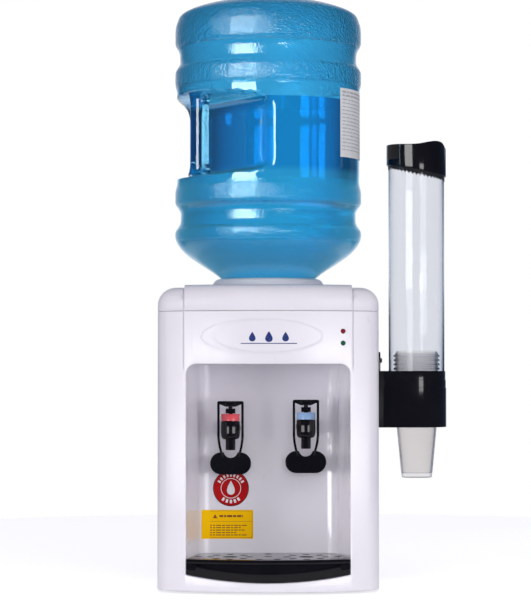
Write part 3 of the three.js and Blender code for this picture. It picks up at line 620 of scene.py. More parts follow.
def niche_front(grow):
    corner = mouth_corner + grow
    low = [(-1 + i / 16) * (mouth_half + grow) for i in range(33)]
    edge, top = mouth_half - mouth_corner, mouth_top - mouth_corner
    return ([(x, sill_z(x, grow)) for x in low]
            + arc(edge, top, corner, 0, quarter, 10)
            + arc(-edge, top, corner, quarter, math.pi, 10))


def niche_solid(name, grow):
    body = prism(name, niche_plan(grow), 0, seam_z)
    return combine(body, prism_y("face", niche_front(grow), front_y - 20, niche_back_y + 20), "INTERSECT")


print("niche", 2 * mouth_half, "wide at its mouth")

# %% [markdown]
# ## Front panel
# One moulding carries the niche, the sill and the plate above the taps. It is cut out of the shell
# by Booleans, because every edge lies where two simple shapes cross, and then all its edges are
# rounded at once. The thin parting grooves and the shallow crescent are cut last, so they stay crisp.
# Faces that lie well inside the niche's right side are then given the polished finish, painted lighter than the
# shell as painted light against the shade in the niche.

# %% Front panel
skirt_z = front_box[0][2] / MM
groove_x, groove_end, groove = 117.0, 311.0, 1.5
front_panel = shell_ring("front_shell", -300, side_front_y - 0.3, skirt_z, seam_z)
liner = combine(niche_solid("liner", wall), block("limit", wall / 2, skirt_z, seam_z), "INTERSECT")
combine(front_panel, liner, "UNION")
combine(front_panel, niche_solid("niche", 0))
soften(front_panel, 1.5)

tap_drop = 16.25
tap_places = {name: (middle(f"{name}_tap_body", 0), middle(f"{name}_colour_ring", 2))
              for name in ("hot", "cold")}
for name, (x, ring_z) in tap_places.items():
    combine(front_panel, prism_y("tap_hole", circle(x, ring_z - tap_drop, 10), -22, 0))
for name in ("heating_lamp", "cooling_lamp"):
    combine(front_panel, prism_y("lamp_hole", circle(middle(name, 0), middle(name, 2), 3.5), -150, -120))
for side in (-1, 1):
    x0, x1 = sorted((side * groove_x, side * (groove_x + groove)))
    slit = prism("slit", rectangle(x0, x1, -160, -100), groove_end, seam_z + 5)
    combine(front_panel, combine(slit, block("core", 1.6, 200, 420)))
crescent_z, dish_x, island_x = 357.0, -9.0, -1.0
dish_half, dish_tall, island_half, island_tall = 85, 25, 72.4, 21.5
for shrink, depth in ((0.0, 0.7), (1.2, 1.4), (2.4, 2.0)):
    dish = prism_y("dish", ellipse(dish_x, crescent_z, dish_half - shrink, dish_tall - shrink, 120), -170, -100)
    island = ellipse(island_x, crescent_z, island_half + shrink, island_tall + shrink / 3, 120)
    combine(dish, prism_y("island", island, -175, -95))
    combine(front_panel, combine(dish, block("core", depth, 300, 400)))
sharp_edges(front_panel, 40)
wear(front_panel, "white_shell", "cabinet", "white_shell", "front_panel")
# the niche's faces take the lighter, polished white: painted light against the shade in the niche
front_panel.data.materials.append(finish["white_niche"])
reach, low, high = mouth_half + 4.5, 16, mouth_top + 1
polished = 0
for face in front_panel.data.polygons:
    corners = [front_panel.data.vertices[v].co / MM for v in face.vertices]
    if all(abs(c.x) < reach and c.y < niche_back_y + 1 and low < c.z < high for c in corners):
        face.material_index = 1
        polished += 1
print("polished niche faces", polished)

# %% [markdown]
# ## Top cover
# The cover is a stack of outlines that draw in as they rise, which rounds its edge. A slightly taller
# copy, cut at two planes, gives the raised band, and thin slots mark where the band begins.

# %% Top cover
def crown(name, inset, base, top, reach=26.0, rise=25.0, steps=14):
    rings = [[(x, y, base) for x, y in cabinet_plan(inset)]]
    for i in range(steps + 1):
        angle = math.pi / 2 * i / steps
        depth = inset + (reach - inset) * (1 - math.cos(angle))
        z = top - rise + rise * math.sin(angle)
        rings.append([(x, y, z) for x, y in cabinet_plan(depth)])
    return loft(name, rings)


cover_low, cover_high = local_box("top_cover")
band_z, shoulder_z = cover_high[2], cover_high[2] - 3.7
seat_y = middle("bottle_seat", 1)


def between(piece, low, high):
    halve(piece, 0, low, keep_above=True)
    return halve(piece, 0, high, keep_above=False)


band = soften(between(crown("band", 0, cover_low[2], band_z), -groove_x, groove_x), 1.0, 3)
top_cover = crown("top_shell", groove, cover_low[2], shoulder_z - groove)
combine(top_cover, band, "UNION")
for low, high in ((-400, -groove_x - groove), (groove_x + groove, 400)):
    shoulder = soften(between(crown("shoulder", 0, cover_low[2], shoulder_z), low, high), 0.6, 2, 60)
    combine(top_cover, shoulder, "UNION")
combine(top_cover, crown("hollow", wall, cover_low[2] - 5, shoulder_z - wall))
combine(top_cover, cylinder("seat_hole", 77, 380, 440, 0, seat_y, 144))
sharp_edges(top_cover, 32)
wear(top_cover, "white_shell", "cabinet", "white_shell", "top_cover")

# %% [markdown]
# ## Vents in the rear panel
# Eight rows of slots let the cooler's air out. A slot repeats, so Geometry Nodes lays one cutter out
# on a grid, and a single Boolean cuts them all.

# %% Repeating with Geometry Nodes
def repeated(name, cutter, points, material="black_gloss"):
    tree = bpy.data.node_groups.new(name, "GeometryNodeTree")
    socket(tree, "Geometry", "NodeSocketGeometry")
    unit = socket(tree, "Piece", "NodeSocketObject")
    skin = socket(tree, "Material", "NodeSocketMaterial")
    socket(tree, "Geometry", "NodeSocketGeometry", False)
    given = tree.nodes.new("NodeGroupInput")
    result = tree.nodes.new("NodeGroupOutput")
    piece = node(tree, "GeometryNodeObjectInfo", i0=given.outputs["Piece"])
    copies = node(tree, "GeometryNodeInstanceOnPoints", Points=given.outputs["Geometry"],
                  Instance=piece.outputs["Geometry"])
    real = node(tree, "GeometryNodeRealizeInstances", Geometry=copies.outputs[0])
    dressed = node(tree, "GeometryNodeSetMaterial", Geometry=real.outputs[0],
                   Material=given.outputs["Material"])
    tree.links.new(dressed.outputs[0], result.inputs[0])
    mesh = bpy.data.meshes.new(name)
    mesh.from_pydata([tuple(c * MM for c in p) for p in points], [], [])
    whole = bpy.data.objects.new(name, mesh)
    bpy.context.collection.objects.link(whole)
    step = whole.modifiers.new("repeat", "NODES")
    step.node_group = tree
    step[unit.identifier] = cutter
    step[skin.identifier] = finish[material]
    settle(whole)
    bpy.data.objects.remove(cutter)
    clean(whole)
    return whole


side_rear_y = local_box("rear_panel")[0][1]
rear_panel = shell_ring("rear_shell", side_rear_y, 300, skirt_z, seam_z)
inlet_x, inlet_z = middle("power_inlet", 0), middle("power_inlet", 2)
switch_z = middle("heating_switch_housing", 2)
holes = [(inlet_x, inlet_z, 14, 10.5)]
holes += [(middle(f"{name}_switch_housing", 0), switch_z, 11, 10) for name in ("heating", "cooling")]
for x, z, half_x, half_z in holes:
    outline = rectangle(x - half_x, x + half_x, z - half_z, z + half_z)
    combine(rear_panel, prism_y("hole", outline, 140, 170))
drain_x, drain_z = middle("drain_socket", 0), middle("drain_socket", 2)
combine(rear_panel, prism_y("hole", circle(drain_x, drain_z, 8.4, 40), 140, 170))
slot = prism_y("slot", round_rectangle(0, 82, 0, 5, 2.4, 6), 140, 170)
vent_z, vent_step, vent_rows = 213, 11, 8
slot_places = [(x, 0, vent_z + vent_step * row) for row in range(vent_rows) for x in (-96, 14)]
combine(rear_panel, repeated("vent_slots", slot, slot_places))
sharp_edges(rear_panel, 40)
wear(rear_panel, "white_shell", "cabinet", "white_shell", "rear_panel")

# %% [markdown]
# ## Bottle seat
# The ring that carries the bottle is turned: a low dome round a funnel and a guide for the neck.

# %% Bottle seat
seat_profile = [(76.7, 424), (76.7, 429.8), (80.0, 429.8), (80.4, 430.4), (80.4, 432.4), (79.6, 435),
                (77.8, 438), (75.4, 440.2), (72.5, 441.2), (68, 441.45), (62, 438.4), (56, 434.9),
                (50, 431.8), (45, 429.1), (40, 426), (36, 423.4), (33, 420.8), (31.6, 418),
                (31.6, 385.1), (33.9, 385.1), (33.9, 418), (46, 424), (76.7, 424)]
seat = turned("seat_ring", seat_profile, 0, seat_y, 144, 30)
wear(seat, "white_shell", "cabinet", "white_shell", "bottle_seat")

# %% [markdown]
# ## The bottle's shape
# A blown bottle is ribbed all round but for the hand hold. It is written as one height field: for
# every height and direction, the distance of the wall from the axis. The ribs come from a smooth
# curve through measured radii; the hand hold is a straight cut blended in with a soft minimum.

# %% Bottle height field
bottle_profile = [(27.5, 371), (27.5, 418), (34, 423.5), (45, 430), (66.6, 441.2), (77.8, 449.5),
                  (101, 464.5), (120, 478.5), (131.8, 493.5), (134.7, 507.5), (127.4, 522.5),
                  (126.7, 536.5), (134.7, 551.5), (134.7, 565.5), (132.1, 580.5), (132.3, 594.5),
                  (132.3, 710.5), (134.8, 724.5), (134.8, 739.5), (127.8, 754), (128.5, 768.5),
                  (134.8, 782.5), (134.8, 797.5), (132.6, 811.5), (122.4, 826.5), (82, 840.2),
                  (60, 842.6), (0, 842.9)]
hold_profile = [(150, 584.5), (120, 586.5), (100, 588), (85, 590), (74, 593), (68, 598), (66, 606),
                (66, 675), (68, 685), (74, 693), (85, 698), (100, 701), (120, 704), (150, 710)]
hold_turn, bar_turn = math.radians(212.5), math.radians(209)
hold_foot, hold_head, hold_blend, hold_edge = 584, 714, 9.0, 0.15
bottle_y = middle("bottle_shell", 1)


def steady_curve(knots, z):
    if z <= knots[0][1]:
        return knots[0][0]
    for k in range(len(knots) - 1):
        (r0, z0), (r1, z1) = knots[k], knots[k + 1]
        if z <= z1:
            break
    else:
        return knots[-1][0]
    before, after = knots[max(k - 1, 0)], knots[min(k + 2, len(knots) - 1)]
    span = z1 - z0
    t = (z - z0) / span
    slope = (r1 - r0) / span
    slopes = []
    for low, high in ((before, (r1, z1)), ((r0, z0), after)):
        tangent = (high[0] - low[0]) / (high[1] - low[1])
        limit = 3 * abs(slope)
        slopes.append(max(-limit, min(limit, tangent)) if tangent * slope > 0 else 0.0)
    h = (2 * t ** 3 - 3 * t ** 2 + 1, t ** 3 - 2 * t ** 2 + t, -2 * t ** 3 + 3 * t ** 2, t ** 3 - t ** 2)
    return h[0] * r0 + h[1] * span * slopes[0] + h[2] * r1 + h[3] * span * slopes[1]


def wall_radius(angle, z, inset=0.0):
    base = steady_curve(bottle_profile, z)
    facing = math.cos(angle - hold_turn)
    if not hold_foot < z < hold_head or facing < hold_edge:
        return base - inset
    flat = steady_curve(hold_profile, z) / facing
    blend = max(hold_blend - abs(base - flat), 0) / hold_blend
    return min(base, flat) - blend * blend * hold_blend / 4 - inset


def bottle_rings(inset, z0, z1, sides=216, step=2.2):
    knots = {z for _, z in bottle_profile if z0 < z < z1 and not 450 <= z <= 838}
    count = round((z1 - z0) / step)
    turns = [2 * math.pi * i / sides for i in range(sides)]
    rings = []
    for z in sorted({z0, z1, *knots, *(z0 + (z1 - z0) * i / count for i in range(1, count))}):
        radii = [max(wall_radius(t, z, inset), 0.5) for t in turns]
        rings.append([(r * math.cos(t), bottle_y + r * math.sin(t), z) for r, t in zip(radii, turns)])
    return rings


print("radius at the hold", round(wall_radius(hold_turn, 650)), "beside it", round(wall_radius(0, 650)))

# %% [markdown]
# ## Bottle wall
# The outer and the inner skin are written from the same field, two millimetres apart, and joined at
# the mouth. Two masks are painted on the vertices: pebble, full on the ribs and the dome, and the
# painted reflection, full below the hand hold and faint above it, which paints a pale reflection and
# a glow onto the lower bottle.

# %% Bottle wall
bottle_wall, crown_z = 2.0, 842.6
mouth_z = local_box("bottle_shell")[0][2]
pebbled_bands = ((496, 514), (547, 572), (718, 746), (776, 838))
# painted reflection: full below this height, fading over this span, and never weaker than the least value above
# it
painted_reflection_top, painted_reflection_fade, painted_reflection_least = 602, 14, 0.3


def paint_masks(piece):
    mask = piece.data.attributes.new("pebble", "FLOAT", "POINT")
    haze = piece.data.attributes.new("haze", "FLOAT", "POINT")
    for vertex in piece.data.vertices:
        z = vertex.co.z / MM
        rib = any(low < z < high for low, high in pebbled_bands)
        plain = 0.0 if 580 <= z <= hold_head else 0.25
        mask.data[vertex.index].value = 1.0 if rib else plain
        haze.data[vertex.index].value = min(max((painted_reflection_top - z) / painted_reflection_fade, painted_reflection_least), 1)


inner = bottle_rings(bottle_wall, mouth_z, crown_z - bottle_wall)
bottle = loft("bottle_wall", inner[::-1] + bottle_rings(0.05, mouth_z, crown_z), 60)
paint_masks(bottle)
wear(bottle, "bottle_blue", "bottle", "bottle_blue", "bottle_shell")

# %% [markdown]
# ## Handle bar
# A bar bridges the hand hold. It is a separate skin with an oval section that flares where it meets
# the bottle, above and below.

# %% Handle bar
bar_foot, bar_head, bar_axis, flare_length = 588, 707, 112, 26


def handle_bar(name):
    rings = []
    for i in range(61):
        z = bar_foot + (bar_head - bar_foot) * i / 60
        end = max(0.0, 1 - min(z - bar_foot, bar_head - z) / flare_length)
        flare = 5.0 * end ** 3
        ring = []
        for k in range(48):
            angle = 2 * math.pi * k / 48
            u, v = bar_axis + (13.2 + flare * 0.6) * math.cos(angle), (13.6 + flare) * math.sin(angle)
            ring.append((u * math.cos(bar_turn) - v * math.sin(bar_turn),
                         bottle_y + u * math.sin(bar_turn) + v * math.cos(bar_turn), z))
        rings.append(ring)
    return loft(name, rings, 60)


bar = handle_bar("handle_bar")
wear(bar, "bottle_blue", "bottle", "bottle_blue")

# %% [markdown]
# ## Water
# The water fills the same field a little further in and stops at a level surface.

# %% Water
water_level = local_box("bottle_water")[1][2]
water = loft("water_body", bottle_rings(bottle_wall + 0.5, mouth_z + 2, water_level), 60)
wear(water, "water", "bottle", "water", "bottle_water")

# %% [markdown]
# ## Taps
# Each tap is turned, bored and softened. The lever is a flat plate with two arms that slant back to
# a wide paddle. They are made on the tap's own axis and then moved to each place, so both are alike.

# %% Tap parts
def moved(piece, x, y, z):
    for vertex in piece.data.vertices:
        vertex.co += Vector((x * MM, y * MM, z * MM))
    return piece


tap_y = middle("hot_colour_ring", 1)
pin_z = 33


def tap_barrel(name):
    profile = [(0, -15), (7, -15), (10.2, -14.6), (12.2, -12.9), (13.1, -10), (13.5, -5), (13.55, 2),
               (13.35, 10.4), (12.9, 10.85), (0, 10.85)]
    barrel = turned(name, profile, sides=96, degrees=30)
    nozzle = turned("nozzle", [(0, -30.2), (6.4, -30.2), (6.95, -29.6), (6.95, -12), (0, -10)], sides=64)
    combine(barrel, nozzle, "UNION")
    shank = prism_y("shank", circle(0, 0, 9.4, 64), -1, 58.4)
    combine(barrel, shank, "UNION")
    combine(barrel, prism_y("flange", circle(0, 0, 13.9, 64), 38.1, 41.6), "UNION")
    combine(barrel, cylinder("chamber", 7, -5, 15, sides=64))
    combine(barrel, cylinder("outlet", 4.5, -40, -4, sides=48))
    combine(barrel, prism_y("inlet", circle(0, 0, 5, 48), 0, 70))
    return soften(barrel, 0.4, 2)


def ring_part(name):
    profile = [(8.4, 11.25), (12.6, 11.25), (13.15, 11.7), (13.15, 19.8), (12.9, 20.6), (12.2, 21.2),
               (8.4, 21.2), (8.4, 11.25)]
    return turned(name, profile, sides=96)


def stem_part(name):
    stem = turned(name, [(0, -4.7), (5.9, -4.7), (5.9, -2), (3, -2), (3, 23), (0, 23)], sides=48)
    neck = prism("neck", round_rectangle(-6.95, 6.95, -4.45, 4.45, 1.2, 5), 21.85, 28.75)
    combine(stem, soften(neck, 0.6, 2, 60), "UNION")
    combine(stem, prism("tongue", round_rectangle(-2.95, 2.95, -3.45, 3.45, 0.8, 4), 28, 35.1), "UNION")
    return combine(stem, prism_x("pin_hole", circle(0, pin_z, 1.6), -5, 5))


def lever_part(name):
    outline = [(18.8, -45), (18.8, 4.6), (17.5, 6.2), (-17.5, 6.2), (-18.8, 4.6), (-18.8, -45), (-15.3, -45),
               (-15.3, 1.6), (-7, -1.7), (7, -1.7), (15.3, 1.6), (15.3, -45)]
    yoke = prism_y("yoke", outline, -1.7, 1.7)
    combine(yoke, prism("clevis", rectangle(-6.9, 6.9, -3.4, 3.4), -1.7, 4.4), "UNION")
    combine(yoke, prism("slot", rectangle(-3.4, 3.4, -6, 6), -4, 2.9))
    parts = [soften(yoke, 0.55, 3, 40), prism_x("pin", circle(0, 0, 1.2, 24), -4, 4)]
    for side in (-1, 1):
        rings = []
        for i in range(15):
            t = i / 14
            sweep, lean = 6.2 * t ** 2.1, 15 * t * t * (3 - 2 * t)
            near, far = sorted((side * (15.3 - sweep), side * (18.8 - sweep)))
            z = -40 - 34 * t
            rings.append([(x, y, z) for x, y in rectangle(near, far, lean - 1.7, lean + 1.7)])
        parts.append(soften(loft("arm", rings), 0.5, 2, 60))
    half, reach, paddle_z = 13.5, 15.75, -82.6
    oval = (arc(half, paddle_z, reach, -quarter, quarter, 32)
            + arc(-half, paddle_z, reach, quarter, 3 * quarter, 32))
    paddle = prism_y("paddle", oval, 13.25, 16.75)
    combine(paddle, prism_y("notch", circle(0, -64.7, 10, 64), 10, 20))
    parts.append(soften(paddle, 1.1, 4, 40))
    return merge_pieces(name, parts)


for tap, (x, ring_z) in tap_places.items():
    axis_z = ring_z - tap_drop
    body = moved(tap_barrel(f"{tap}_tap_skin"), x, tap_y, axis_z)
    wear(body, "black_gloss", "cabinet", "black_gloss", f"{tap}_tap_body")
    collar = moved(ring_part(f"{tap}_ring_skin"), x, tap_y, axis_z)
    colour = {"hot": "hot_red", "cold": "cold_blue"}[tap]
    wear(collar, colour, "cabinet", colour, f"{tap}_colour_ring")
    stem = moved(stem_part(f"{tap}_stem_skin"), x, tap_y, axis_z)
    wear(stem, "black_gloss", f"{tap}_valve", "black_gloss", f"{tap}_valve_stem")
    lever = moved(lever_part(f"{tap}_lever_skin"), x, tap_y, axis_z + pin_z)
    wear(lever, "black_gloss", f"{tap}_lever", "black_gloss", f"{tap}_lever")

# %% [markdown]
# ## Drip tray and grille
# The tray is cut from the same niche and cabinet shapes as the panel, so it fits by itself. Its front
# carries a crescent recess. The grille's round holes are one turned cutter per size, laid out by
# Geometry Nodes.

# %% Drip tray
tray_high = local_box("drip_tray")[1]
proud = 1.48


def crescent_outline():
    low = [(99 * (-1 + i / 24), 29.6 + 9.6 * (-1 + i / 24) ** 2) for i in range(49)]
    return [*low, (99, tray_high[2] + 1), (-99, tray_high[2] + 1)]


tray = combine(niche_solid("tray_skin", -0.6), block("limit", -proud, 0, tray_high[2]), "INTERSECT")
soften(tray, 1.0)
combine(tray, combine(prism("well", niche_plan(-3.5), 30, 50), block("limit", 14, 0, 100), "INTERSECT"))
combine(tray, combine(prism_y("recess", crescent_outline(), -170, -100), block("core", 3, 0, 100)))
sharp_edges(tray, 40)
wear(tray, "black_gloss", "tray", "black_gloss", "drip_tray")

# %% Drip grille
grille_low, grille_high = local_box("drip_grille")
grille_block = block("limit", -proud, grille_low[2], grille_high[2])
grille = combine(niche_solid("grille_skin", -0.6), grille_block, "INTERSECT")
soften(grille, 0.9)
under = combine(prism("under", niche_plan(-7), 0, grille_high[2] - 3), block("limit", 6, 0, 100), "INTERSECT")
combine(grille, under)
tap_x = abs(tap_places["hot"][0])
row_y = -92
small = [(side * 98, row_y + 6, 0) for side in (-1, 1)] + [(side * 12.5, row_y - 47, 0) for side in (-1, 1)]
small += [(0, row_y + 8, 0), (0, row_y + 52, 0)]
for side in (-1, 1):
    for i in range(8):
        angle = math.pi / 4 * i
        small.append((side * tap_x + 27 * math.cos(angle), row_y + 42 * math.sin(angle), 0))


def hole_cutter(name, radius):
    top, wide = grille_high[2], radius + 0.8
    profile = [(0, 30), (radius, 30), (radius, top - 0.8), (wide, top + 0.02), (wide, top + 5),
               (0, top + 5)]
    return turned(name, profile, sides=48)


large = [(-tap_x, row_y, 0), (tap_x, row_y, 0)]
combine(grille, repeated("small_holes", hole_cutter("small_hole", 5), small))
combine(grille, repeated("large_holes", hole_cutter("large_hole", 10), large))
sharp_edges(grille, 35)
wear(grille, "black_gloss", "grille", "black_gloss", "drip_grille")

# %% [markdown]
# ## Cup magazine
# The holder is a round post joined to a flat flank and bored through. Two shallow steps run round it.
# The tube stands in it, and the lid's lower edge slopes down to the outer side.

# %% Cup holder
cup_x, cup_y = middle("cup_tube", 0), middle("cup_tube", 1)
holder_low, holder_high = local_box("cup_bracket")
holder_base = holder_low[2]
holder_top, tube_seat, holder_radius = 309.0, 290.0, holder_high[0] - cup_x


def holder_outline(radius):
    return [(holder_low[0], cup_y - radius), *arc(cup_x, cup_y, radius, -quarter, quarter, 64),
            (holder_low[0], cup_y + radius)]


holder_steps = [(0, holder_base), (0, 285.0), (0.6, 285.6), (0.6, 296.2), (1.2, 296.8), (1.2, holder_top)]
holder = loft("holder_skin", [[(x, y, z) for x, y in holder_outline(holder_radius - 0.02 - inset)]
                              for inset, z in holder_steps])
soften(holder, 0.8, 3, 60)
plate_edge, plate_corner, plate_z = 34.0, 8, 328
plate = [(cup_y - plate_edge, holder_base), (cup_y + plate_edge, holder_base)]
plate += arc(cup_y + plate_edge - plate_corner, plate_z, plate_corner, 0, quarter, 10)
plate += arc(cup_y - plate_edge + plate_corner, plate_z, plate_corner, quarter, math.pi, 10)
combine(holder, soften(prism_x("plate", plate, holder_low[0], holder_low[0] + 4), 0.8), "UNION")
combine(holder, cylinder("tube_bore", 40.4, tube_seat, 320, cup_x, cup_y, 128))
combine(holder, cylinder("cup_bore", 37.5, 200, 295, cup_x, cup_y, 128))
for node_name in ("bracket_screw_front", "bracket_screw_rear"):
    screw = circle(middle(node_name, 1), middle(node_name, 2), 2.3)
    combine(holder, prism_x("screw_hole", screw, 140, 170))
sharp_edges(holder, 35)
wear(holder, "black_gloss", "cabinet", "black_gloss", "cup_bracket")

# %% Tube
tube_low, tube_high = local_box("cup_tube")
z0, z1 = tube_low[2] + 0.02, tube_high[2] - 0.02
tube_profile = [(38.0, z0), (39.6, z0), (39.97, z0 + 0.5), (39.97, z1 - 0.5), (39.6, z1), (38.0, z1),
                (38.0, z0)]
tube = turned("tube_skin", tube_profile, cup_x, cup_y, 160)
wear(tube, "clear_tube", "tube", "clear_tube", "cup_tube")

# %% Lid
lid_high = local_box("cup_lid")[1]
lid_x, lid_y = middle("cup_lid", 0), middle("cup_lid", 1)
lid_outer = lid_high[0] - lid_x - 0.02


lid_edge_high, lid_edge_fall, lid_slope_start, lid_slope_run = 603.5, 22.5, -42.7, 102.7


def lid_edge(x):
    share = min(max((x - lid_slope_start) / lid_slope_run, 0), 1)
    return lid_edge_high - lid_edge_fall * share


lid_top_curve = [(-60, 633), (-36, 632.4), (-12, 631.4), (0, 631.8), (14, 634.4), (26, 636.3),
                 (36, 634.5), (41, 628), (60, 616)]


def lid_top(x):
    return steady_curve([(z, u) for u, z in lid_top_curve], x)


lid = cylinder("lid_skin", lid_outer, 575, 640, lid_x, lid_y, 160)
xs = [-60 + 2 * i for i in range(61)]
above = [(lid_x + x, lid_top(x)) for x in xs]
above += [(lid_x + 60, 680), (lid_x - 60, 680)]
combine(lid, prism_y("above", above, lid_y - 60, lid_y + 60))
below = [(lid_x - 70, 540), (lid_x + 70, 540), (lid_x + 70, lid_edge(70)),
         (lid_x + lid_slope_start, lid_edge_high), (lid_x - 70, lid_edge_high)]
combine(lid, prism_y("below", below, lid_y - 70, lid_y + 70))
combine(lid, cylinder("lid_bore", 40.6, 560, 620.5, lid_x, lid_y, 160))
soften(lid, 1.1, 3, 40)
wear(lid, "black_gloss", "lid", "black_gloss", "cup_lid")

# %% [markdown]
# ## Serrated collar
# A thin toothed collar shows just under the lid's edge, all round the tube.

# %% Serrated collar
def toothed_collar(name, radius, thick, depth, teeth):
    points, faces = [], []
    steps = teeth * 4
    for i in range(steps):
        angle = 2 * math.pi * i / steps
        x, y = math.cos(angle), math.sin(angle)
        edge = lid_edge(radius * x)
        tooth = (0.0, 0.5, 1.0, 0.5)[i % 4]
        for r in (radius, radius + thick):
            points.append((lid_x + r * x, lid_y + r * y, edge + 2.5))
            points.append((lid_x + r * x, lid_y + r * y, edge - depth * (0.35 + 0.65 * tooth)))
    for i in range(steps):
        a, b = 4 * i, 4 * ((i + 1) % steps)
        for j, k in ((0, 1), (1, 3), (3, 2), (2, 0)):
            faces.append((a + j, b + j, b + k, a + k))
    return make(name, points, faces, 30)


collar = toothed_collar("lid_collar", 40.05, 0.45, 5.5, 44)
wear(collar, "black_satin", "tube", "black_gloss")

# %% [markdown]
# ## Cups
# The lowest cup is a thin cone with a rolled rim. Above it the nested cups show as their rims, six
# millimetres apart, standing on one another; Geometry Nodes stacks the rim.

# %% Cups
cup_low, cup_high = local_box("lowest_cup")
base, rim = cup_low[2], cup_high[2]
cup_profile = [(0, base + 0.05), (20.6, base + 0.05), (21.4, base + 0.5), (22.1, base + 7),
               (22.5, base + 8), (30.3, 247), (30.6, 249.1), (32.9, 249.3), (33.4, 250.2),
               (33.4, 251.2), (32.6, 251.9), (30.2, 251.9), (29.9, 250), (21.6, base + 8.6),
               (21.0, base + 1.0), (0, base + 1.0)]
lowest = turned("cup_skin", cup_profile, cup_x, cup_y, 128, 50)
wear(lowest, "cup_plastic", "cup", "cup_plastic", "lowest_cup")

stack_low, stack_high = local_box("cup_stack")
rim_step = 6.0
rim_profile = [(30.2, 0.2), (32.6, 0.2), (33.3, 0.9), (33.3, 2.1), (32.6, 2.9), (31.0, 3.1),
               (30.9, 6.0), (30.2, 6.0), (30.2, 0.2)]
ring_unit = turned("rim", rim_profile, cup_x, cup_y, 96)
count = int((stack_high[2] - rim - 6) / rim_step)
rim_places = [(0, 0, rim + 0.8 + rim_step * i) for i in range(count)]
rims = repeated("stacked_rims", ring_unit, rim_places, "cup_plastic")
inner_profile = [(0, stack_low[2] + 0.3), (20.8, stack_low[2] + 0.3), (29.2, 252.4),
                 (29.2, stack_high[2] - 3), (28.6, stack_high[2] - 3), (28.6, 253),
                 (20.2, stack_low[2] + 1.1), (0, stack_low[2] + 1.1)]
stack = merge_pieces("stack_skin", [rims, turned("inner_cups", inner_profile, cup_x, cup_y, 96)])
wear(stack, "cup_plastic", "stack", "cup_plastic", "cup_stack")
print("rims in the stack:", count)

# %% [markdown]
# ## Labels
# Printed labels are thin closed sheets laid a hair above the plastic. The print is made of plain
# rings, bars and drops: it shows where the real labels sit without any wording.

# %% Labels in the niche
back_y = niche_back_y


def sheet(name, outline, thick):
    return prism_y(name, outline, back_y - thick, back_y)


sticker_x, sticker_z, sticker_r, face_r, dash_r = -53.5, 140.8, 25.8, 24.6, 19.0
print_thick, bar_thick = 0.34, 0.26
edge_ring = soften(sheet("sticker_edge", circle(sticker_x, sticker_z, sticker_r, 128), 0.2), 0.05, 1)
wear(edge_ring, "label_rim", "cabinet", "white_shell")
face_disc = sheet("sticker_face", circle(sticker_x, sticker_z, face_r, 128), 0.28)
wear(face_disc, "label_red", "cabinet", "white_shell")


def bar_outline(cx, cz, length, height, turn=0.0):
    c, s = math.cos(turn), math.sin(turn)
    corners = rectangle(-length / 2, length / 2, -height / 2, height / 2)
    return [(cx + u * c - v * s, cz + u * s + v * c) for u, v in corners]


def drop_outline(cx, cz, half, tall, steps=48):
    turns = (2 * math.pi * i / steps for i in range(steps))
    return [(cx + half * math.sin(t) * abs(math.sin(t / 2)) ** 1.4, cz + tall * math.cos(t)) for t in turns]


def framed(name, outer, inner, thick):
    return combine(sheet(name, outer, thick), prism_y("inside", inner, back_y - 9, back_y + 9))


outer_ring, inner_ring = (circle(sticker_x, sticker_z, radius, 128) for radius in (14.5, 13.6))
prints = [framed("ring", outer_ring, inner_ring, print_thick)]
for count, start, step, length, height, side in ((9, 30, 15, 2.6, 4.6, -1), (5, -125, 17.5, 3.2, 5.0, 1)):
    for i in range(count):
        angle = math.radians(start + step * i)
        cx, cz = sticker_x + dash_r * math.cos(angle), sticker_z + dash_r * math.sin(angle)
        dash = bar_outline(cx, cz, length, height, angle + side * quarter)
        prints.append(sheet("dash", dash, print_thick))
prints.append(sheet("drop", drop_outline(sticker_x, sticker_z + 1.0, 7.8, 10.2, 64), print_thick))
wear(merge_pieces("sticker_print", prints), "print_white", "cabinet", "white_shell")

flat_end = niche_back_half - niche_fillet


def back_wall_y(x):
    over = max(abs(x) - flat_end, 0)
    return back_y - niche_fillet + math.sqrt(niche_fillet ** 2 - over ** 2)


across = [-95.5 + i for i in range(75)]
strip = [(x, back_wall_y(x) + 0.05) for x in across] + [(x, back_wall_y(x) - 0.2) for x in reversed(across)]
yellow = prism("yellow_label", strip, 68.5, 110)
wear(yellow, "label_yellow", "cabinet", "white_shell")
border = framed("frame", round_rectangle(-90.6, -22.9, 69.9, 108.6, 0.8, 3),
                round_rectangle(-90.1, -23.4, 70.4, 108.1, 0.6, 3), bar_thick)
lines = [border, sheet("frame", round_rectangle(-90.1, -23.4, 93.2, 93.6, 0.1, 1), bar_thick)]
rows = [(101, -70, -36, 3.0), (87.8, -86, -30, 1.3), (84.4, -86, -38, 1.3), (81.0, -86, -34, 1.3),
        (77.4, -86, -46, 1.3), (74.0, -86, -31, 1.3)]
word_lengths, word_gap, shortest = (5.5, 3.2, 7.4, 4.4, 6.3, 2.8), 1.2, 0.8
for z, x, x1, height in rows:
    k = 0
    while x < x1:
        length = min(word_lengths[k % 6], x1 - x)
        if length > shortest:
            lines.append(sheet("bar", bar_outline(x + length / 2, z, length, height), bar_thick))
        x += length + word_gap
        k += 1
lines.append(sheet("triangle", [(-79.5, 98.0), (-72.9, 98.0), (-76.2, 103.8)], bar_thick))
wear(merge_pieces("yellow_print", lines), "print_brown", "cabinet", "white_shell")

# %% [markdown]
# ## Mark on the front
# Three plain drops stand where a maker would print a name. They follow the bow of the panel.

# %% Mark
def on_front(name, outline, thick=0.12, depth=0.3):
    body = prism_y(name, outline, front_y - 5, front_y + 30)
    combine(body, block("limit", -thick, 300, 420), "INTERSECT")
    return combine(body, block("core", depth, 290, 430))


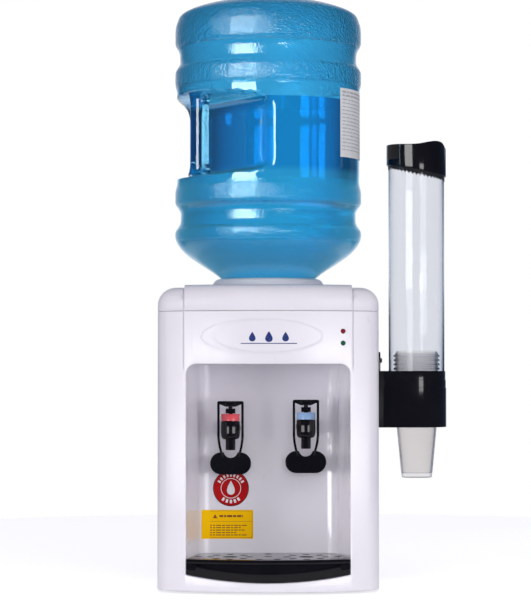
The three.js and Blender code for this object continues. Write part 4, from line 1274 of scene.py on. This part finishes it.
drops = ((-22, 6.4, 6.8), (1, 7.2, 7.6), (24, 6.4, 6.8))
marks = [on_front("drop", drop_outline(x, 356.5, half, tall)) for x, half, tall in drops]
marks.append(on_front("bar", round_rectangle(-38, 40, 346.4, 347.6, 0.5, 4)))
wear(merge_pieces("front_mark", marks), "mark_blue", "cabinet", "white_shell")

# %% [markdown]
# ## Paper label on the bottle
# The paper follows the bottle's wall, so its grid takes its radius from the same height field.

# %% Bottle label
def wrapped(name, a0, a1, z0, z1, lift, thick, columns, rows_count, skew=0.0):
    points, faces = [], []
    for layer in (lift, lift + thick):
        for j in range(rows_count + 1):
            for i in range(columns + 1):
                share = i / columns
                angle = math.radians(a0 + (a1 - a0) * share)
                z = z0 + (z1 - z0) * j / rows_count + skew * (share - 0.5)
                r = wall_radius(angle, z) + layer
                points.append((r * math.cos(angle), bottle_y + r * math.sin(angle), z))
    row, layer_size = columns + 1, (columns + 1) * (rows_count + 1)
    for j in range(rows_count):
        for i in range(columns):
            a = j * row + i
            faces.append((a, a + row, a + row + 1, a + 1))
            faces.append(tuple(layer_size + v for v in (a, a + 1, a + row + 1, a + row)))
    rim_loop = [*range(columns)] + [j * row + columns for j in range(rows_count)]
    rim_loop += [rows_count * row + i for i in range(columns, 0, -1)]
    rim_loop += [j * row for j in range(rows_count, 0, -1)]
    for k, a in enumerate(rim_loop):
        b = rim_loop[(k + 1) % len(rim_loop)]
        faces.append((a, b, layer_size + b, layer_size + a))
    return make(name, points, faces, 40)


paper = wrapped("bottle_label", -39.5, 15, 613, 711, 0.15, 0.2, 40, 40, 1.5)
wear(paper, "label_paper", "bottle", "bottle_blue")
ink = []
word_turns, line_step, top_line = (4.2, 2.6, 5.4, 3.4), 5.1, 704
for i in range(17):
    z = top_line - line_step * i
    tall = 2.6 if i in (0, 1) else 1.3
    a, end, k = -37.5, 12 - 5 * (i % 3), 0
    while a < end:
        step = min(word_turns[(k + i) % 4], end - a)
        if step > shortest:
            ink.append(wrapped("ink", a, a + step, z, z + tall, 0.4, 0.08, max(int(step), 1), 1))
        a += step + 1.0
        k += 1
wear(merge_pieces("bottle_print", ink), "print_grey", "bottle", "bottle_blue")

# %% [markdown]
# ## Left side panel
# This panel only lacks soft edges, so a welded copy of its CAD mesh gets a bevel.

# %% Softened copy
def softened_copy(name, width, material, keep_sharp=35):
    source = bpy.data.objects[name]
    mesh = source.data.copy()
    mesh.transform(source.matrix_world)
    piece = bpy.data.objects.new(name + "_skin", mesh)
    bpy.context.collection.objects.link(piece)
    clean(piece, 0.01)
    work = bmesh.new()
    work.from_mesh(piece.data)
    flat = [e for e in work.edges if len(e.link_faces) == 2 and e.calc_face_angle() < math.radians(0.5)]
    bmesh.ops.dissolve_edges(work, edges=flat, use_verts=True)
    work.to_mesh(piece.data)
    work.free()
    soften(piece, width, 2, keep_sharp)
    return wear(piece, material, "cabinet", material, name)


softened_copy("left_side_panel", 0.4, "white_shell")

# %% [markdown]
# ## Light and floor
# The object stands on a broad pale floor in an evenly lit studio. Matt lamps light it from both
# sides, in front and above, and are never mirrored. Gloss lamps are only mirrored, each by the few
# pieces linked to it, and draw the long highlights. The surroundings that glossy and clear parts
# show are bright only straight behind the object, and dark and bluish everywhere else.

# %% Studio
scene = bpy.context.scene
scene.view_settings.view_transform = "Standard"

world = bpy.data.worlds.new("studio")
world.use_nodes = True
scene.world = world
tree = world.node_tree
seen = tree.nodes["Background"]
seen.inputs["Color"].default_value = (1, 1, 1, 1)
direction = node(tree, "ShaderNodeTexCoord").outputs["Generated"]
toward = node(tree, "ShaderNodeSeparateXYZ", Vector=direction).outputs["Y"]
behind = (0.84, 0.985)
backdrop = spread(tree, toward, 0.11, 0.97, *behind)
side_tone, back_tone = (0.55, 0.85, 1.45, 1), (0.97, 0.97, 1.0, 1)
tone = mixed(tree, spread(tree, toward, 0.0, 1.0, *behind), side_tone, back_tone)
mirrored = node(tree, "ShaderNodeBackground", Color=tone, Strength=backdrop)
ambient = node(tree, "ShaderNodeBackground", Color=(0.95, 0.93, 1.0, 1), Strength=0.42)
path = tree.nodes.new("ShaderNodeLightPath")
second = node(tree, "ShaderNodeMixShader", i0=path.outputs["Is Diffuse Ray"])
first = node(tree, "ShaderNodeMixShader", i0=path.outputs["Is Camera Ray"])
for start, end in ((mirrored.outputs[0], second.inputs[1]), (ambient.outputs[0], second.inputs[2]),
                   (second.outputs[0], first.inputs[1]), (seen.outputs[0], first.inputs[2]),
                   (first.outputs[0], tree.nodes["World Output"].inputs[0])):
    tree.links.new(start, end)


def soft_box(name, azimuth, height, distance, size, radiance, aim_z, lit=()):
    lamp = bpy.data.lights.new(name, "AREA")
    lamp.shape = "RECTANGLE"
    lamp.size, lamp.size_y = size
    lamp.energy = radiance * math.pi * size[0] * size[1]
    angle = math.radians(azimuth)
    where = Vector((distance * math.sin(angle), -distance * math.cos(angle), height))
    stand = bpy.data.objects.new(name, lamp)
    stand.location = where
    stand.rotation_euler = (Vector((0, 0, aim_z)) - where).to_track_quat("-Z", "Y").to_euler()
    stand.visible_diffuse = not lit
    stand.visible_glossy = stand.visible_transmission = bool(lit)
    bpy.context.collection.objects.link(stand)
    if lit:
        stand.light_linking.receiver_collection = bpy.data.collections.new(name)
        for piece in lit:
            stand.light_linking.receiver_collection.objects.link(bpy.data.objects[piece])
    return stand


glossy = ["bottle_wall", "handle_bar", "tube_skin", "lid_skin", "holder_skin", "cup_skin"]
taps = [f"{tap}_{part}_skin" for tap in ("hot", "cold") for part in ("tap", "ring", "stem", "lever")]
low_set, high_set = ["front_shell"] + taps, ["front_shell", "top_shell"]
soft_box("left_key", -50, 0.26, 2.4, (0.70, 0.50), 13.5, 0.26)
soft_box("right_key", 50, 0.26, 2.4, (0.70, 0.50), 13.5, 0.26)
soft_box("front_fill", 0, 0.60, 3.0, (1.6, 1.2), 3.0, 0.30)
soft_box("top_fill", 12, 2.2, 2.0, (1.4, 1.4), 1.8, 0.45)
soft_box("left_box", -31, 1.00, 2.4, (1.3, 1.6), 12.0, 0.50, glossy)
soft_box("right_glint", 18, 0.34, 2.4, (0.62, 0.26), 11.0, 0.36, glossy)
soft_box("left_low", -38, 0.05, 2.4, (1.55, 0.48), 8.0, 0.15, low_set)
soft_box("right_low", 38, 0.05, 2.4, (1.55, 0.48), 8.0, 0.15, low_set)
soft_box("left_high", -40, 0.75, 2.4, (1.2, 0.80), 2.2, 0.35, high_set)
soft_box("right_high", 40, 0.75, 2.4, (1.2, 0.80), 2.2, 0.35, high_set)

floor_mesh = bpy.data.meshes.new("floor")
table = arc(0, 0.65, 1.1, 0, 2 * math.pi, 96)[:-1]
floor_mesh.from_pydata([(x, y, 0) for x, y in table], [], [tuple(range(len(table)))])
floor = bpy.data.objects.new("floor", floor_mesh)
bpy.context.collection.objects.link(floor)
floor_material, floor_tree, floor_shader = new_material("floor_white")
floor_where = node(floor_tree, "ShaderNodeTexCoord").outputs["Object"]
floor_cloud = spread(floor_tree, noise(floor_tree, floor_where, 3.0), 0.0, 1.0)
floor_colour = mixed(floor_tree, floor_cloud, (0.93, 0.93, 0.94, 1), (0.95, 0.95, 0.955, 1))
floor_tree.links.new(floor_colour, floor_shader.inputs["Base Color"])
looked_at = floor_tree.nodes.new("ShaderNodeLightPath").outputs["Is Camera Ray"]
floor_glow = mixed(floor_tree, looked_at, (0.10, 0.10, 0.10, 1), (0.56, 0.56, 0.565, 1))
floor_tree.links.new(floor_glow, floor_shader.inputs["Emission Color"])
floor_shader.inputs["Emission Strength"].default_value = 1.0
floor_shader.inputs["Roughness"].default_value = 0.7
floor_mesh.materials.append(floor_material)
